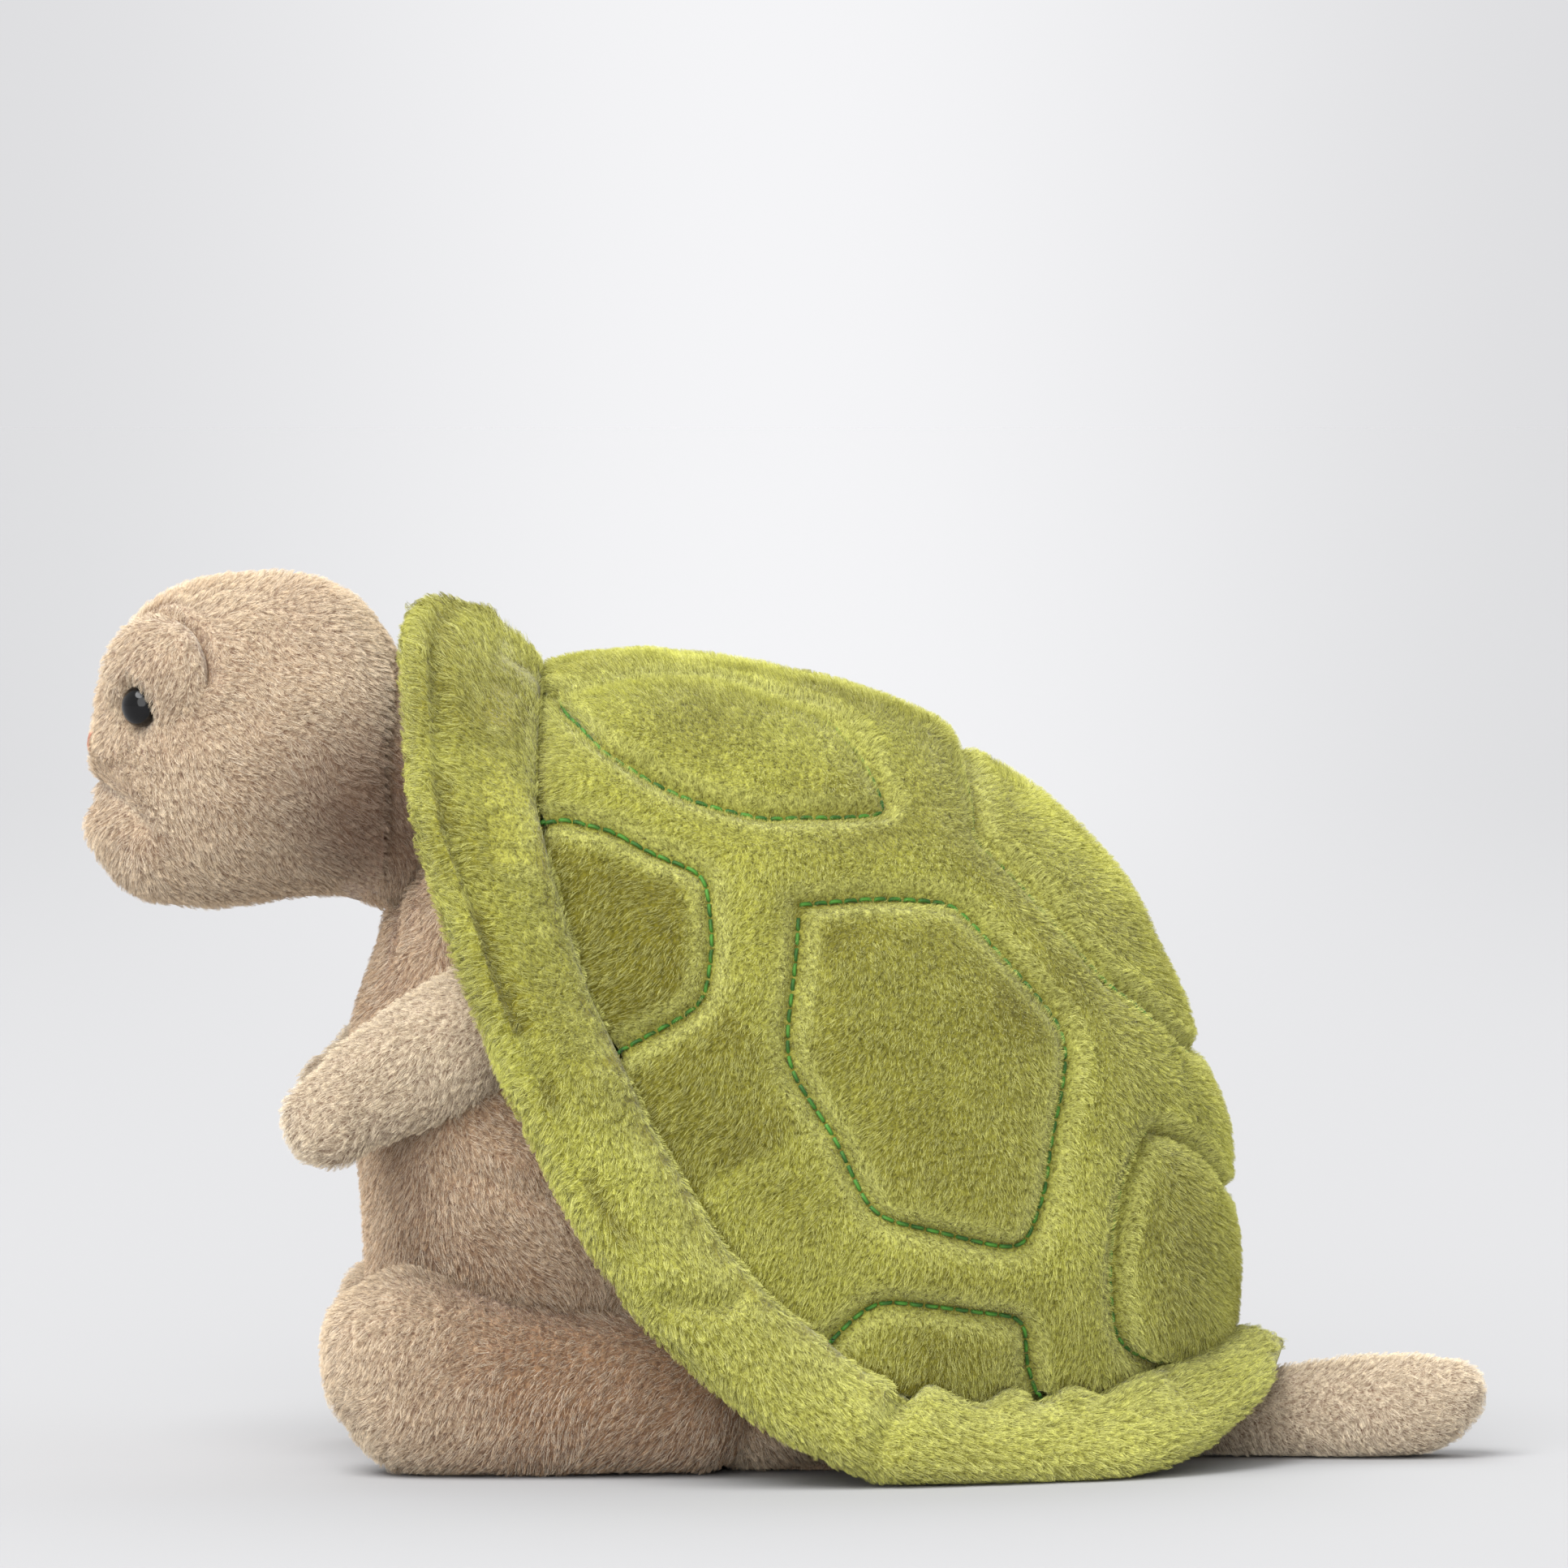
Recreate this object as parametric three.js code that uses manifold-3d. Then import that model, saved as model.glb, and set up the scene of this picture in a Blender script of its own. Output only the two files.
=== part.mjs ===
// Plush turtle sitting on the floor, in millimetres, with Z up.
// It faces -Y, so its own left side is +X, and every piece is mirrored in X = 0.
// Each stuffed piece is one solid: its cover together with the filling inside it.

import * as THREE from 'three';
import { mergeVertices } from 'three/addons/utils/BufferGeometryUtils.js';
import Module from 'manifold-3d';

const wasm = await Module();
wasm.setup();

// Overall sizes of the toy
const toy_length = 345.4;
const toy_height = 218.6;
const shell_half_width = 93;

// Clearances
const sewn_gap = 0.3;
const seam_gap = 0.5;
const swing_gap = 1.6;
const root_gap = 0.92;
const floor_flat_depth = 0.5;

// Head and neck
const head_length = 77.7;
const head_height = 83.4;
const head_half_width = 38.5;
const head_front_y = -172.7;
const head_bottom_z = 135.2;
const head_cap_length = 4.7;
const neck_pivot_y = -95;
const neck_pivot_z = 168;
const neck_radius = 29.5;
const neck_lip_radius = 34;
const neck_lip_back = 19;
const head_turn_deg = 20;
const head_down_deg = -12;
const head_up_deg = 8;
const head_back_length = 34;
const chin_half_width = 26;
const chin_half_length = 19.8;
const chin_half_height = 14.6;
const chin_centre_z = 151.4;

// Safety eyes and their lock washers
const eye_y = -159.5;
const eye_z = 185;
const eye_x = 24.6;
const eye_radius = 5.2;
const eye_dome_height = 4.2;
const eye_flange = 1.1;
const eye_sunk = 1.4;
const shank_radius = 1.5;
const shank_length = 12;
const washer_radius = 6;
const washer_thickness = 1.6;
const washer_depth = 7;

// Eyelid hoods
const lid_half_length = 14.5;
const lid_half_height = 12.5;
const lid_half_thickness = 9.5;
const lid_y = -153.5;
const lid_z = 191.5;
const lid_x = 22.8;

// Arms
const arm_root_radius = 16;
const arm_pivot_x = 54;
const arm_pivot_y = -67;
const arm_pivot_z = 113;
const arm_reach = 47;
const arm_drop = 25;
const arm_spread = 4;
const arm_low_deg = -20;
const arm_high_deg = 50;

// Legs and soles
const leg_root_radius = 21;
const leg_pivot_x = 47;
const leg_pivot_y = -22;
const leg_reach = 84;
const leg_height = 51.5;
const sole_cap_length = 6.4;
const sole_seam_y = -95;
const leg_in_deg = -4;
const leg_out_deg = 28;

// Tail
const tail_root_radius = 11;
const tail_pivot_y = 107;
const tail_reach = 58;
const tail_height = 25;
const tail_tip_cap = 7.7;
const tail_wag_deg = 18;

// Torso
const torso_length = 190;
const torso_front_y = -108;
const torso_half_width = 66;
const torso_top_z = 190;
const torso_cap_length = 4;
const seat_front_y = -24;
const seat_length = 128;
const seat_half_width = 62;
const seat_height = 42;
const seat_cap_length = 5;

// Bean pouch and the panel below it
const pouch_y = 10;
const pouch_half_length = 22;
const pouch_half_width = 36;
const pouch_height = 12;
const panel_margin = 6;
const panel_thickness = 2.6;

// Shell
const lining_thickness = 2;
const lining_margin = 4;
const rim_thickness = 17;
const channel_radius = 1.8;
const channel_step = 16;
const dome_swell_share = 0.05;
const dome_squareness = 2.25;
const body_squareness = 2.2;
const round_squareness = 2;
const limb_squareness = 2.4;
const rim_squareness = 2.6;

// How finely the soft forms are cut
const head_rings = 12;
const limb_rings = 8;
const torso_rings = 14;
const shell_rings = 25;
const rim_rings = 48;
const head_around = 20;
const limb_around = 14;
const torso_around = 24;
const arch_around = 28;
const rim_around = 12;
const channel_around = 5;
const cap_rings = 3;
const ball_around = 18;
const eye_around = 16;
const sweep_step_deg = 9;
const smoothing = 0.1;
const sweep_smoothing = 0.6;

// Colours and finishes of the cloth and plastic
const plush_beige = { color: 0xc4aa8c, roughness: 0.95, metalness: 0 };
const plush_green = { color: 0xb5bd55, roughness: 0.95, metalness: 0 };
const lining_green = { color: 0x9aa848, roughness: 0.9, metalness: 0 };
const pouch_cloth = { color: 0xe6e0d2, roughness: 0.9, metalness: 0 };
const eye_black = { color: 0x0c0c0d, roughness: 0.08, metalness: 0 };
const washer_white = { color: 0xdedbd2, roughness: 0.45, metalness: 0 };

// Way the left eye looks: left, back and up
const eye_look_shares = [0.68, -0.72, 0.13];
// Half of the shell's outline, from the neck's top round the left side to above the tail.
// Each row has three shares: across the half width, along the length and up the height.
const seam_shares = [
  [0, -0.173, 0.894],
  [0.36, -0.177, 0.843],
  [0.65, -0.177, 0.738],
  [0.735, -0.156, 0.605],
  [0.8, -0.133, 0.512],
  [0.85, -0.094, 0.382],
  [0.87, -0.037, 0.241],
  [0.86, 0.019, 0.16],
  [0.82, 0.07, 0.1],
  [0.73, 0.132, 0.083],
  [0.6, 0.212, 0.085],
  [0.43, 0.27, 0.104],
  [0.25, 0.307, 0.127],
  [0, 0.321, 0.142],
];
const hem_shares = [
  [0, -0.253, 0.955],
  [0.4, -0.268, 0.908],
  [0.71, -0.261, 0.742],
  [0.85, -0.237, 0.618],
  [0.93, -0.208, 0.496],
  [0.98, -0.153, 0.309],
  [1, -0.093, 0.18],
  [0.99, -0.017, 0.07],
  [0.94, 0.058, 0.016],
  [0.85, 0.139, 0.002],
  [0.7, 0.232, 0.004],
  [0.5, 0.298, 0.036],
  [0.31, 0.341, 0.08],
  [0, 0.361, 0.124],
];
// Ridge of the dome: along the length and up the height
const ridge_shares = [
  [-0.173, 0.894],
  [-0.15, 0.905],
  [-0.09, 0.912],
  [0, 0.893],
  [0.08, 0.854],
  [0.163, 0.776],
  [0.235, 0.668],
  [0.277, 0.565],
  [0.301, 0.453],
  [0.318, 0.348],
  [0.325, 0.265],
  [0.325, 0.205],
  [0.323, 0.165],
  [0.321, 0.142],
];
// Channels sewn into the dome, one round each scute. A row's shares are the place along the shell
// and the place round it, from the left seam to the ridge. These two go on over the ridge.
const spine_scute_shares = [
  [0.35, 0.5],
  [0.363, 0.423],
  [0.392, 0.345],
  [0.448, 0.332],
  [0.513, 0.341],
  [0.598, 0.421],
  [0.612, 0.5],
];
const tail_scute_shares = [
  [0.8, 0.05],
  [0.717, 0.15],
  [0.648, 0.226],
  [0.618, 0.299],
  [0.662, 0.36],
  [0.72, 0.43],
  [0.735, 0.5],
];
// These four have a twin on the right
const neck_scute_shares = [
  [0.05, 0.06],
  [0.115, 0.151],
  [0.216, 0.167],
  [0.294, 0.204],
  [0.348, 0.291],
  [0.312, 0.342],
  [0.275, 0.386],
  [0.193, 0.41],
  [0.151, 0.36],
  [0.115, 0.26],
  [0.07, 0.16],
];
const front_scute_shares = [
  [0.19, 0.05],
  [0.212, 0.091],
  [0.288, 0.126],
  [0.328, 0.093],
  [0.352, 0.062],
  [0.34, 0.03],
];
const side_scute_shares = [
  [0.349, 0.164],
  [0.378, 0.215],
  [0.415, 0.262],
  [0.518, 0.266],
  [0.566, 0.203],
  [0.617, 0.129],
  [0.51, 0.067],
  [0.451, 0.083],
  [0.404, 0.085],
];
const low_scute_shares = [
  [0.551, 0.033],
  [0.61, 0.065],
  [0.674, 0.087],
  [0.715, 0.04],
];
// Thickness of the rim at the same places
const rim_thickness_shares = [1, 1, 1, 1, 1, 1, 0.95, 0.9, 0.85, 0.8, 0.75, 0.72, 0.7, 0.62];

// Head, from the neck to the snout: distance from the neck, half width, bottom and top
const head_shares = [
  [0, 0.83, 0.016, 0.784],
  [0.065, 0.895, 0.015, 0.875],
  [0.155, 0.95, 0.018, 0.95],
  [0.296, 0.99, 0.018, 0.99],
  [0.45, 1, 0.008, 1],
  [0.605, 0.965, 0.004, 0.975],
  [0.73, 0.85, 0.03, 0.906],
  [0.837, 0.68, 0.13, 0.83],
  [0.94, 0.46, 0.33, 0.7],
];
// Torso, from the floor up: height, half width, front and back
const torso_shares = [
  [0, 0.42, 0.13, 0.62],
  [0.12, 0.62, 0.03, 0.62],
  [0.24, 0.86, 0.02, 0.58],
  [0.33, 0.98, 0.012, 0.54],
  [0.42, 1, 0.005, 0.48],
  [0.55, 0.89, 0, 0.42],
  [0.64, 0.8, 0.028, 0.38],
  [0.715, 0.76, 0.057, 0.33],
  [0.77, 0.7, 0.09, 0.32],
  [0.87, 0.62, 0.13, 0.3],
  [1, 0.4, 0.17, 0.27],
];
// Seat, from the hips back to the tail: distance from the hips, half width and top
const seat_shares = [
  [0, 0.86, 0.95],
  [0.22, 1, 1],
  [0.45, 0.95, 0.86],
  [0.7, 0.72, 0.5],
  [1, 0.34, 0.44],
];
// Limbs, from the pivot to the tip: distance, half width, bottom and top round the axis
const arm_shares = [
  [0, 1, -1, 1],
  [0.3, 0.92, -1.14, 1],
  [0.6, 0.76, -1.06, 0.88],
  [0.85, 0.64, -0.86, 0.74],
  [1, 0.52, -0.66, 0.6],
];
const leg_shares = [
  [0, 1, 0, 0.82],
  [0.3, 0.97, 0, 0.78],
  [0.52, 0.98, 0, 0.83],
  [0.75, 1, 0, 0.96],
  [0.88, 0.98, 0.05, 1],
  [1, 0.8, 0.26, 0.9],
];
const tail_shares = [
  [0, 1, 0, 0.86],
  [0.32, 1.02, 0, 0.9],
  [0.62, 1.14, 0, 1],
  [0.85, 1.12, 0.02, 0.99],
  [1, 0.84, 0.14, 0.88],
];

/** A manifold solid from a three.js geometry. */
function solidOf(geometry) {
  const bare = geometry.clone();
  bare.deleteAttribute('normal');
  bare.deleteAttribute('uv');
  const welded = mergeVertices(bare, 1e-4);
  const points = new Float32Array(welded.attributes.position.array);
  const corners = new Uint32Array(welded.index.array);
  const mesh = new wasm.Mesh({ numProp: 3, vertProperties: points, triVerts: corners });
  mesh.merge();
  return new wasm.Manifold(mesh);
}

/** A three.js geometry from a manifold solid. */
function geometryOf(solid) {
  const mesh = solid.getMesh();
  const geometry = new THREE.BufferGeometry();
  geometry.setAttribute('position', new THREE.BufferAttribute(new Float32Array(mesh.vertProperties), 3));
  geometry.setIndex(new THREE.BufferAttribute(new Uint32Array(mesh.triVerts), 1));
  geometry.computeVertexNormals();
  return geometry;
}

/** Closed skin over a row of rings, each end drawn to the middle of its ring. */
function skinOf(rings, closed_loop = false) {
  const around = rings[0].length;
  const points = rings.flat();
  const faces = [];
  const ring_count = rings.length;
  const bands = closed_loop ? ring_count : ring_count - 1;
  for (let i = 0; i < bands; i += 1) {
    const here = i * around;
    const next = ((i + 1) % ring_count) * around;
    for (let j = 0; j < around; j += 1) {
      const k = (j + 1) % around;
      faces.push(here + j, here + k, next + k, here + j, next + k, next + j);
    }
  }
  if (!closed_loop) {
    for (const [ring, flip] of [[0, true], [ring_count - 1, false]]) {
      const middle = new THREE.Vector3();
      rings[ring].forEach((point) => middle.add(point));
      points.push(middle.divideScalar(around));
      const tip = points.length - 1;
      for (let j = 0; j < around; j += 1) {
        const a = ring * around + j;
        const b = ring * around + ((j + 1) % around);
        faces.push(...(flip ? [b, a, tip] : [a, b, tip]));
      }
    }
  }
  const geometry = new THREE.BufferGeometry().setFromPoints(points);
  geometry.setIndex(faces);
  return geometry;
}

/** The same skin as a solid, turned to face out. */
function skinSolid(rings, closed_loop = false) {
  const solid = solidOf(skinOf(rings, closed_loop));
  return solid.volume() > 0 ? solid : solidOf(skinOf(rings.map((ring) => [...ring].reverse()), closed_loop));
}

/** Value of a table's column at a share of its length, on a smooth curve through the rows. */
function smoothAt(rows, column, share) {
  const last = rows.length - 1;
  const place = Math.min(Math.max(share, 0), 1) * last;
  const i = Math.min(Math.floor(place), last - 1);
  const t = place - i;
  const row = (k) => rows[Math.min(Math.max(k, 0), last)][column];
  const rise = (row(i + 1) - row(i - 1)) / 2;
  const next_rise = (row(i + 2) - row(i)) / 2;
  const step = row(i + 1) - row(i);
  return row(i) + t * (rise + t * (3 * step - 2 * rise - next_rise + t * (rise + next_rise - 2 * step)));
}

/** Point on a rounded square outline: 2 is an ellipse, more is squarer. */
function roundedPoint(angle, squareness) {
  const soften = (value) => Math.sign(value) * Math.abs(value) ** (2 / squareness);
  return [soften(Math.cos(angle)), soften(Math.sin(angle))];
}

/** Shares along a form, with rings gathered at a rounded end; each has its place and its scale. */
function endedSteps(rings, start_cap, end_cap) {
  const steps = [];
  for (let i = 1; i <= cap_rings && start_cap > 0; i += 1) {
    const turn = ((i - 0.5) / cap_rings) * (Math.PI / 2);
    steps.push({ share: 0, past: -start_cap * Math.cos(turn), scale: Math.sin(turn) });
  }
  for (let i = 0; i <= rings; i += 1) {
    steps.push({ share: i / rings, past: 0, scale: 1 });
  }
  for (let i = cap_rings; i >= 1 && end_cap > 0; i -= 1) {
    const turn = ((i - 0.5) / cap_rings) * (Math.PI / 2);
    steps.push({ share: 1, past: end_cap * Math.cos(turn), scale: Math.sin(turn) });
  }
  return steps;
}

/** Ball as a solid, round a point. */
function ballAt(centre, radius) {
  const ball = new THREE.SphereGeometry(radius, ball_around, ball_around / 2);
  return solidOf(ball.translate(centre.x, centre.y, centre.z));
}

/** Everything above the floor, to take the small flat that a form stands on. */
function aboveFloor(solid) {
  return solid.trimByPlane([0, 0, 1], 0);
}

/** One solid cut by others. */
function cutBy(solid, others) {
  return others.reduce((rest, other) => rest.subtract(other), solid);
}

/** Copies of a solid at steps of a turn about an upright or level axis through a pivot, joined. */
function sweptAbout(solid, pivot, axis, from_deg, to_deg) {
  let swept = null;
  const steps = Math.ceil((to_deg - from_deg) / sweep_step_deg);
  for (let i = 0; i <= steps; i += 1) {
    const angle = THREE.MathUtils.degToRad(from_deg + ((to_deg - from_deg) * i) / steps);
    const turn = new THREE.Matrix4().makeTranslation(pivot);
    turn.multiply(new THREE.Matrix4().makeRotationAxis(axis, angle));
    turn.multiply(new THREE.Matrix4().makeTranslation(pivot.clone().negate()));
    const copy = solid.transform(turn.toArray());
    swept = swept ? swept.add(copy) : copy;
  }
  return swept.simplify(sweep_smoothing);
}

/** The largest body of a solid, without the crumbs that a cut leaves. */
function mainBody(solid) {
  const bodies = solid.decompose();
  return bodies.reduce((large, body) => (body.volume() > large.volume() ? body : large));
}

/** Mirror image on the toy's right side. */
function mirrored(solid) {
  return solid.mirror([1, 0, 0]);
}

/** Head without its neck hollow and eye seats; the mouth is the crease between muzzle and chin. */
function headForm(grow = 0) {
  const rings = endedSteps(head_rings, 0, head_cap_length).map(({ share, past, scale }) => {
    const y = neck_pivot_y - head_length * smoothAt(head_shares, 0, share) - past - Math.sign(past) * grow;
    const half_width = (head_half_width * smoothAt(head_shares, 1, share) + grow) * scale;
    const low = head_bottom_z + head_height * smoothAt(head_shares, 2, share) - grow;
    const high = head_bottom_z + head_height * smoothAt(head_shares, 3, share) + grow;
    const half_height = (scale * (high - low)) / 2;
    return Array.from({ length: head_around }, (_, j) => {
      const [across, up] = roundedPoint((j / head_around) * 2 * Math.PI, body_squareness);
      return new THREE.Vector3(half_width * across, y, (low + high) / 2 + half_height * up);
    });
  });
  const chin = new THREE.SphereGeometry(1, head_around, head_around / 2);
  chin.scale(chin_half_width + grow, chin_half_length + grow, chin_half_height + grow);
  chin.translate(0, head_front_y + chin_half_length, chin_centre_z);
  return skinSolid(rings).add(solidOf(chin));
}

/** Where an eye sits and which way it looks. */
function eyePlace() {
  const middle = new THREE.Vector3(eye_x, eye_y, eye_z);
  const look = new THREE.Vector3(eye_look_shares[0], eye_look_shares[1], eye_look_shares[2]).normalize();
  const turn = new THREE.Quaternion().setFromUnitVectors(new THREE.Vector3(0, 1, 0), look);
  return { middle, turn };
}

/** Solid of revolution on the left eye's own axis; the profile runs outward along it. */
function onEyeAxis(profile) {
  const { middle, turn } = eyePlace();
  const points = profile.map(([radius, height]) => new THREE.Vector2(radius, height));
  const turned = new THREE.LatheGeometry(points, eye_around);
  turned.applyQuaternion(turn);
  turned.translate(middle.x, middle.y, middle.z);
  return solidOf(turned);
}

/** Glossy eye with its flange and shank. */
function eyeForm(grow = 0) {
  const profile = [[0, -shank_length - grow], [shank_radius + grow, -shank_length - grow]];
  profile.push([shank_radius + grow, -eye_sunk - grow], [eye_radius + grow, -eye_sunk - grow]);
  profile.push([eye_radius + grow, eye_flange - eye_sunk]);
  const steps = cap_rings + cap_rings;
  for (let i = 1; i < steps; i += 1) {
    const [across, up] = roundedPoint((i / steps) * (Math.PI / 2), 2);
    profile.push([(eye_radius + grow) * across, eye_flange - eye_sunk + (eye_dome_height + grow) * up]);
  }
  profile.push([0, eye_flange - eye_sunk + eye_dome_height + grow]);
  return onEyeAxis(profile);
}

/** Lock washer on the shank. */
function washerForm() {
  const inner = shank_radius + sewn_gap;
  const top = -washer_depth;
  const low = top - washer_thickness;
  const ring = [[inner, low], [washer_radius, low], [washer_radius, top], [inner, top], [inner, low]];
  return onEyeAxis(ring);
}

/** Room inside the head for the washer. */
function washerPocket() {
  const radius = washer_radius + sewn_gap;
  const top = sewn_gap - washer_depth;
  const low = -washer_depth - washer_thickness - sewn_gap;
  return onEyeAxis([[0, low], [radius, low], [radius, top], [0, top]]);
}

/** Eyelid hood: a padded lens on the head, open below where the eye looks out. */
function lidForm(head, eye_room) {
  const lens = new THREE.SphereGeometry(1, head_around, head_around / 2);
  lens.scale(lid_half_thickness, lid_half_length, lid_half_height);
  lens.translate(lid_x, lid_y, lid_z);
  return solidOf(lens).trimByPlane([0, 0, 1], eye_z + eye_flange).subtract(head).subtract(eye_room);
}

/** Rounded limb along a line in the toy's side view, its sections upright to that line. */
function limbForm({ pivot, reach, drop, spread, half_width, shares, unit, caps, grow }) {
  const along = new THREE.Vector3(spread, -reach, -drop);
  const across = new THREE.Vector3(1, 0, 0);
  const direction = along.clone().normalize();
  const up = new THREE.Vector3().crossVectors(direction, across).normalize();
  up.multiplyScalar(Math.sign(up.z));
  const rings = endedSteps(limb_rings, caps[0] + grow, caps[1] + grow).map(({ share, past, scale }) => {
    const place = smoothAt(shares, 0, share);
    const middle = pivot.clone().addScaledVector(along, place).addScaledVector(direction, past);
    const half = (half_width * smoothAt(shares, 1, share) + grow) * scale;
    const low = unit * smoothAt(shares, 2, share) - grow;
    const high = unit * smoothAt(shares, 3, share) + grow;
    middle.addScaledVector(up, (low + high) / 2);
    const squareness = round_squareness + (limb_squareness - round_squareness) * share;
    return Array.from({ length: limb_around }, (_, j) => {
      const [side, rise] = roundedPoint((j / limb_around) * 2 * Math.PI, squareness);
      const point = middle.clone().addScaledVector(across, half * side);
      return point.addScaledVector(up, ((scale * (high - low)) / 2) * rise);
    });
  });
  return skinSolid(rings);
}

/** Room for a limb's round root and for the rest of it, over its whole swing. */
function limbRoom({ form, pivot, radius, half_height, way, axis, from_deg, to_deg }) {
  const root = new THREE.SphereGeometry(1, ball_around, ball_around / 2);
  root.scale(radius + root_gap, radius + root_gap, half_height + root_gap);
  root.translate(pivot.x, pivot.y, pivot.z);
  const direction = way.clone().normalize();
  const shaft = form.trimByPlane(direction.toArray(), direction.dot(pivot));
  return solidOf(root).add(sweptAbout(shaft, pivot, axis, from_deg, to_deg)).simplify(sweep_smoothing);
}

/** Left arm, root ball and flipper. */
function armForm(grow = 0) {
  const pivot = new THREE.Vector3(arm_pivot_x, arm_pivot_y, arm_pivot_z);
  const flipper = limbForm({
    pivot,
    reach: arm_reach,
    drop: arm_drop,
    spread: arm_spread,
    half_width: arm_root_radius,
    shares: arm_shares,
    unit: arm_root_radius,
    caps: [arm_root_radius, arm_root_radius / 2],
    grow,
  });
  return flipper;
}

/** Left leg with its foot, still in one with the sole. */
function legForm(grow = 0) {
  const pivot = new THREE.Vector3(leg_pivot_x, leg_pivot_y, -floor_flat_depth);
  return limbForm({
    pivot,
    reach: leg_reach,
    drop: 0,
    spread: 0,
    half_width: leg_root_radius,
    shares: leg_shares,
    unit: leg_height + floor_flat_depth,
    caps: [leg_root_radius, sole_cap_length],
    grow,
  });
}

/** Tail, lying on the floor behind the shell. */
function tailForm(grow = 0) {
  const pivot = new THREE.Vector3(0, tail_pivot_y, -floor_flat_depth);
  return limbForm({
    pivot,
    reach: -tail_reach,
    drop: 0,
    spread: 0,
    half_width: tail_root_radius,
    shares: tail_shares,
    unit: tail_height + floor_flat_depth,
    caps: [tail_root_radius, tail_tip_cap],
    grow,
  });
}

/** Belly and chest as one upright form. */
function bellyForm() {
  const rings = endedSteps(torso_rings, 0, torso_cap_length).map(({ share, past, scale }) => {
    const z = torso_top_z * smoothAt(torso_shares, 0, share) + past - (share > 0 ? 0 : floor_flat_depth);
    const half_width = torso_half_width * smoothAt(torso_shares, 1, share) * scale;
    const front = torso_front_y + torso_length * smoothAt(torso_shares, 2, share);
    const back = torso_front_y + torso_length * smoothAt(torso_shares, 3, share);
    const half_depth = (scale * (back - front)) / 2;
    return Array.from({ length: torso_around }, (_, j) => {
      const [across, along] = roundedPoint((j / torso_around) * 2 * Math.PI, body_squareness);
      return new THREE.Vector3(half_width * across, (front + back) / 2 + half_depth * along, z);
    });
  });
  return skinSolid(rings);
}

/** Seat below the shell, from the hips to the tail. */
function seatForm() {
  const rings = endedSteps(limb_rings, seat_cap_length, seat_cap_length).map(({ share, past, scale }) => {
    const y = seat_front_y + seat_length * smoothAt(seat_shares, 0, share) + past;
    const half_width = seat_half_width * smoothAt(seat_shares, 1, share) * scale;
    const high = seat_height * smoothAt(seat_shares, 2, share);
    const half_height = (scale * (high + floor_flat_depth)) / 2;
    return Array.from({ length: torso_around }, (_, j) => {
      const [across, up] = roundedPoint((j / torso_around) * 2 * Math.PI, rim_squareness);
      return new THREE.Vector3(half_width * across, y, (high - floor_flat_depth) / 2 + half_height * up);
    });
  });
  return skinSolid(rings);
}

/** Point on the shell's seam or hem, on the left side, at a share of the way to the tail. */
function outlineAt(rows, share) {
  return new THREE.Vector3(
    shell_half_width * smoothAt(rows, 0, share),
    toy_length * smoothAt(rows, 1, share),
    toy_height * smoothAt(rows, 2, share),
  );
}

/** Way from the seam up to the ridge, at a share of the way to the tail. */
function riseAt(share) {
  const seam = outlineAt(seam_shares, share);
  const ridge_y = toy_length * smoothAt(ridge_shares, 0, share);
  const ridge_z = toy_height * smoothAt(ridge_shares, 1, share);
  return new THREE.Vector3(0, ridge_y - seam.y, ridge_z - seam.z);
}

/** Point on the dome's skin, at shares of the way to the tail and round from the left seam. */
function domePoint(share, round, grow = 0) {
  const seam = outlineAt(seam_shares, share);
  const rise = riseAt(share);
  const height = rise.length();
  const [across, up] = roundedPoint(round * Math.PI, dome_squareness);
  const swell = 1 + dome_swell_share * Math.sin(Math.PI * up);
  const point = new THREE.Vector3((seam.x * swell + grow) * across, seam.y, seam.z);
  return point.addScaledVector(rise.normalize(), (height + grow) * up);
}

/** Room for a sewn channel: a slim tube that follows a route on the dome's skin. */
function channelForm(route, closed_loop) {
  const legs = closed_loop ? route.length : route.length - 1;
  const places = [];
  for (let i = 0; i < legs; i += 1) {
    const [share, round] = route[i];
    const [next_share, next_round] = route[(i + 1) % route.length];
    const length = domePoint(share, round).distanceTo(domePoint(next_share, next_round));
    const steps = Math.ceil(length / channel_step);
    for (let k = 0; k < steps; k += 1) {
      const t = k / steps;
      places.push([share + (next_share - share) * t, round + (next_round - round) * t]);
    }
  }
  if (!closed_loop) {
    places.push(route[legs]);
  }
  const points = places.map(([share, round]) => domePoint(share, round));
  const last = points.length - 1;
  const rings = points.map((point, i) => {
    const ahead = points[closed_loop ? (i + 1) % points.length : Math.min(i + 1, last)];
    const behind = points[closed_loop ? (i + last) % points.length : Math.max(i - 1, 0)];
    const along = ahead.clone().sub(behind).normalize();
    const outward = point.clone().sub(outlineAt(seam_shares, places[i][0]).setX(0));
    const side = new THREE.Vector3().crossVectors(along, outward).normalize();
    const up = new THREE.Vector3().crossVectors(side, along);
    return Array.from({ length: channel_around }, (_, j) => {
      const [across, rise] = roundedPoint((j / channel_around) * 2 * Math.PI, round_squareness);
      return point.clone().addScaledVector(side, channel_radius * across).addScaledVector(up, channel_radius * rise);
    });
  });
  return skinSolid(rings, closed_loop);
}

/** Route that goes on over the ridge to the same places on the right. */
function overRidge(half_route) {
  const right = half_route.slice(0, -1).map(([share, round]) => [share, 1 - round]);
  return [...half_route, ...right.reverse()];
}

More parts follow.
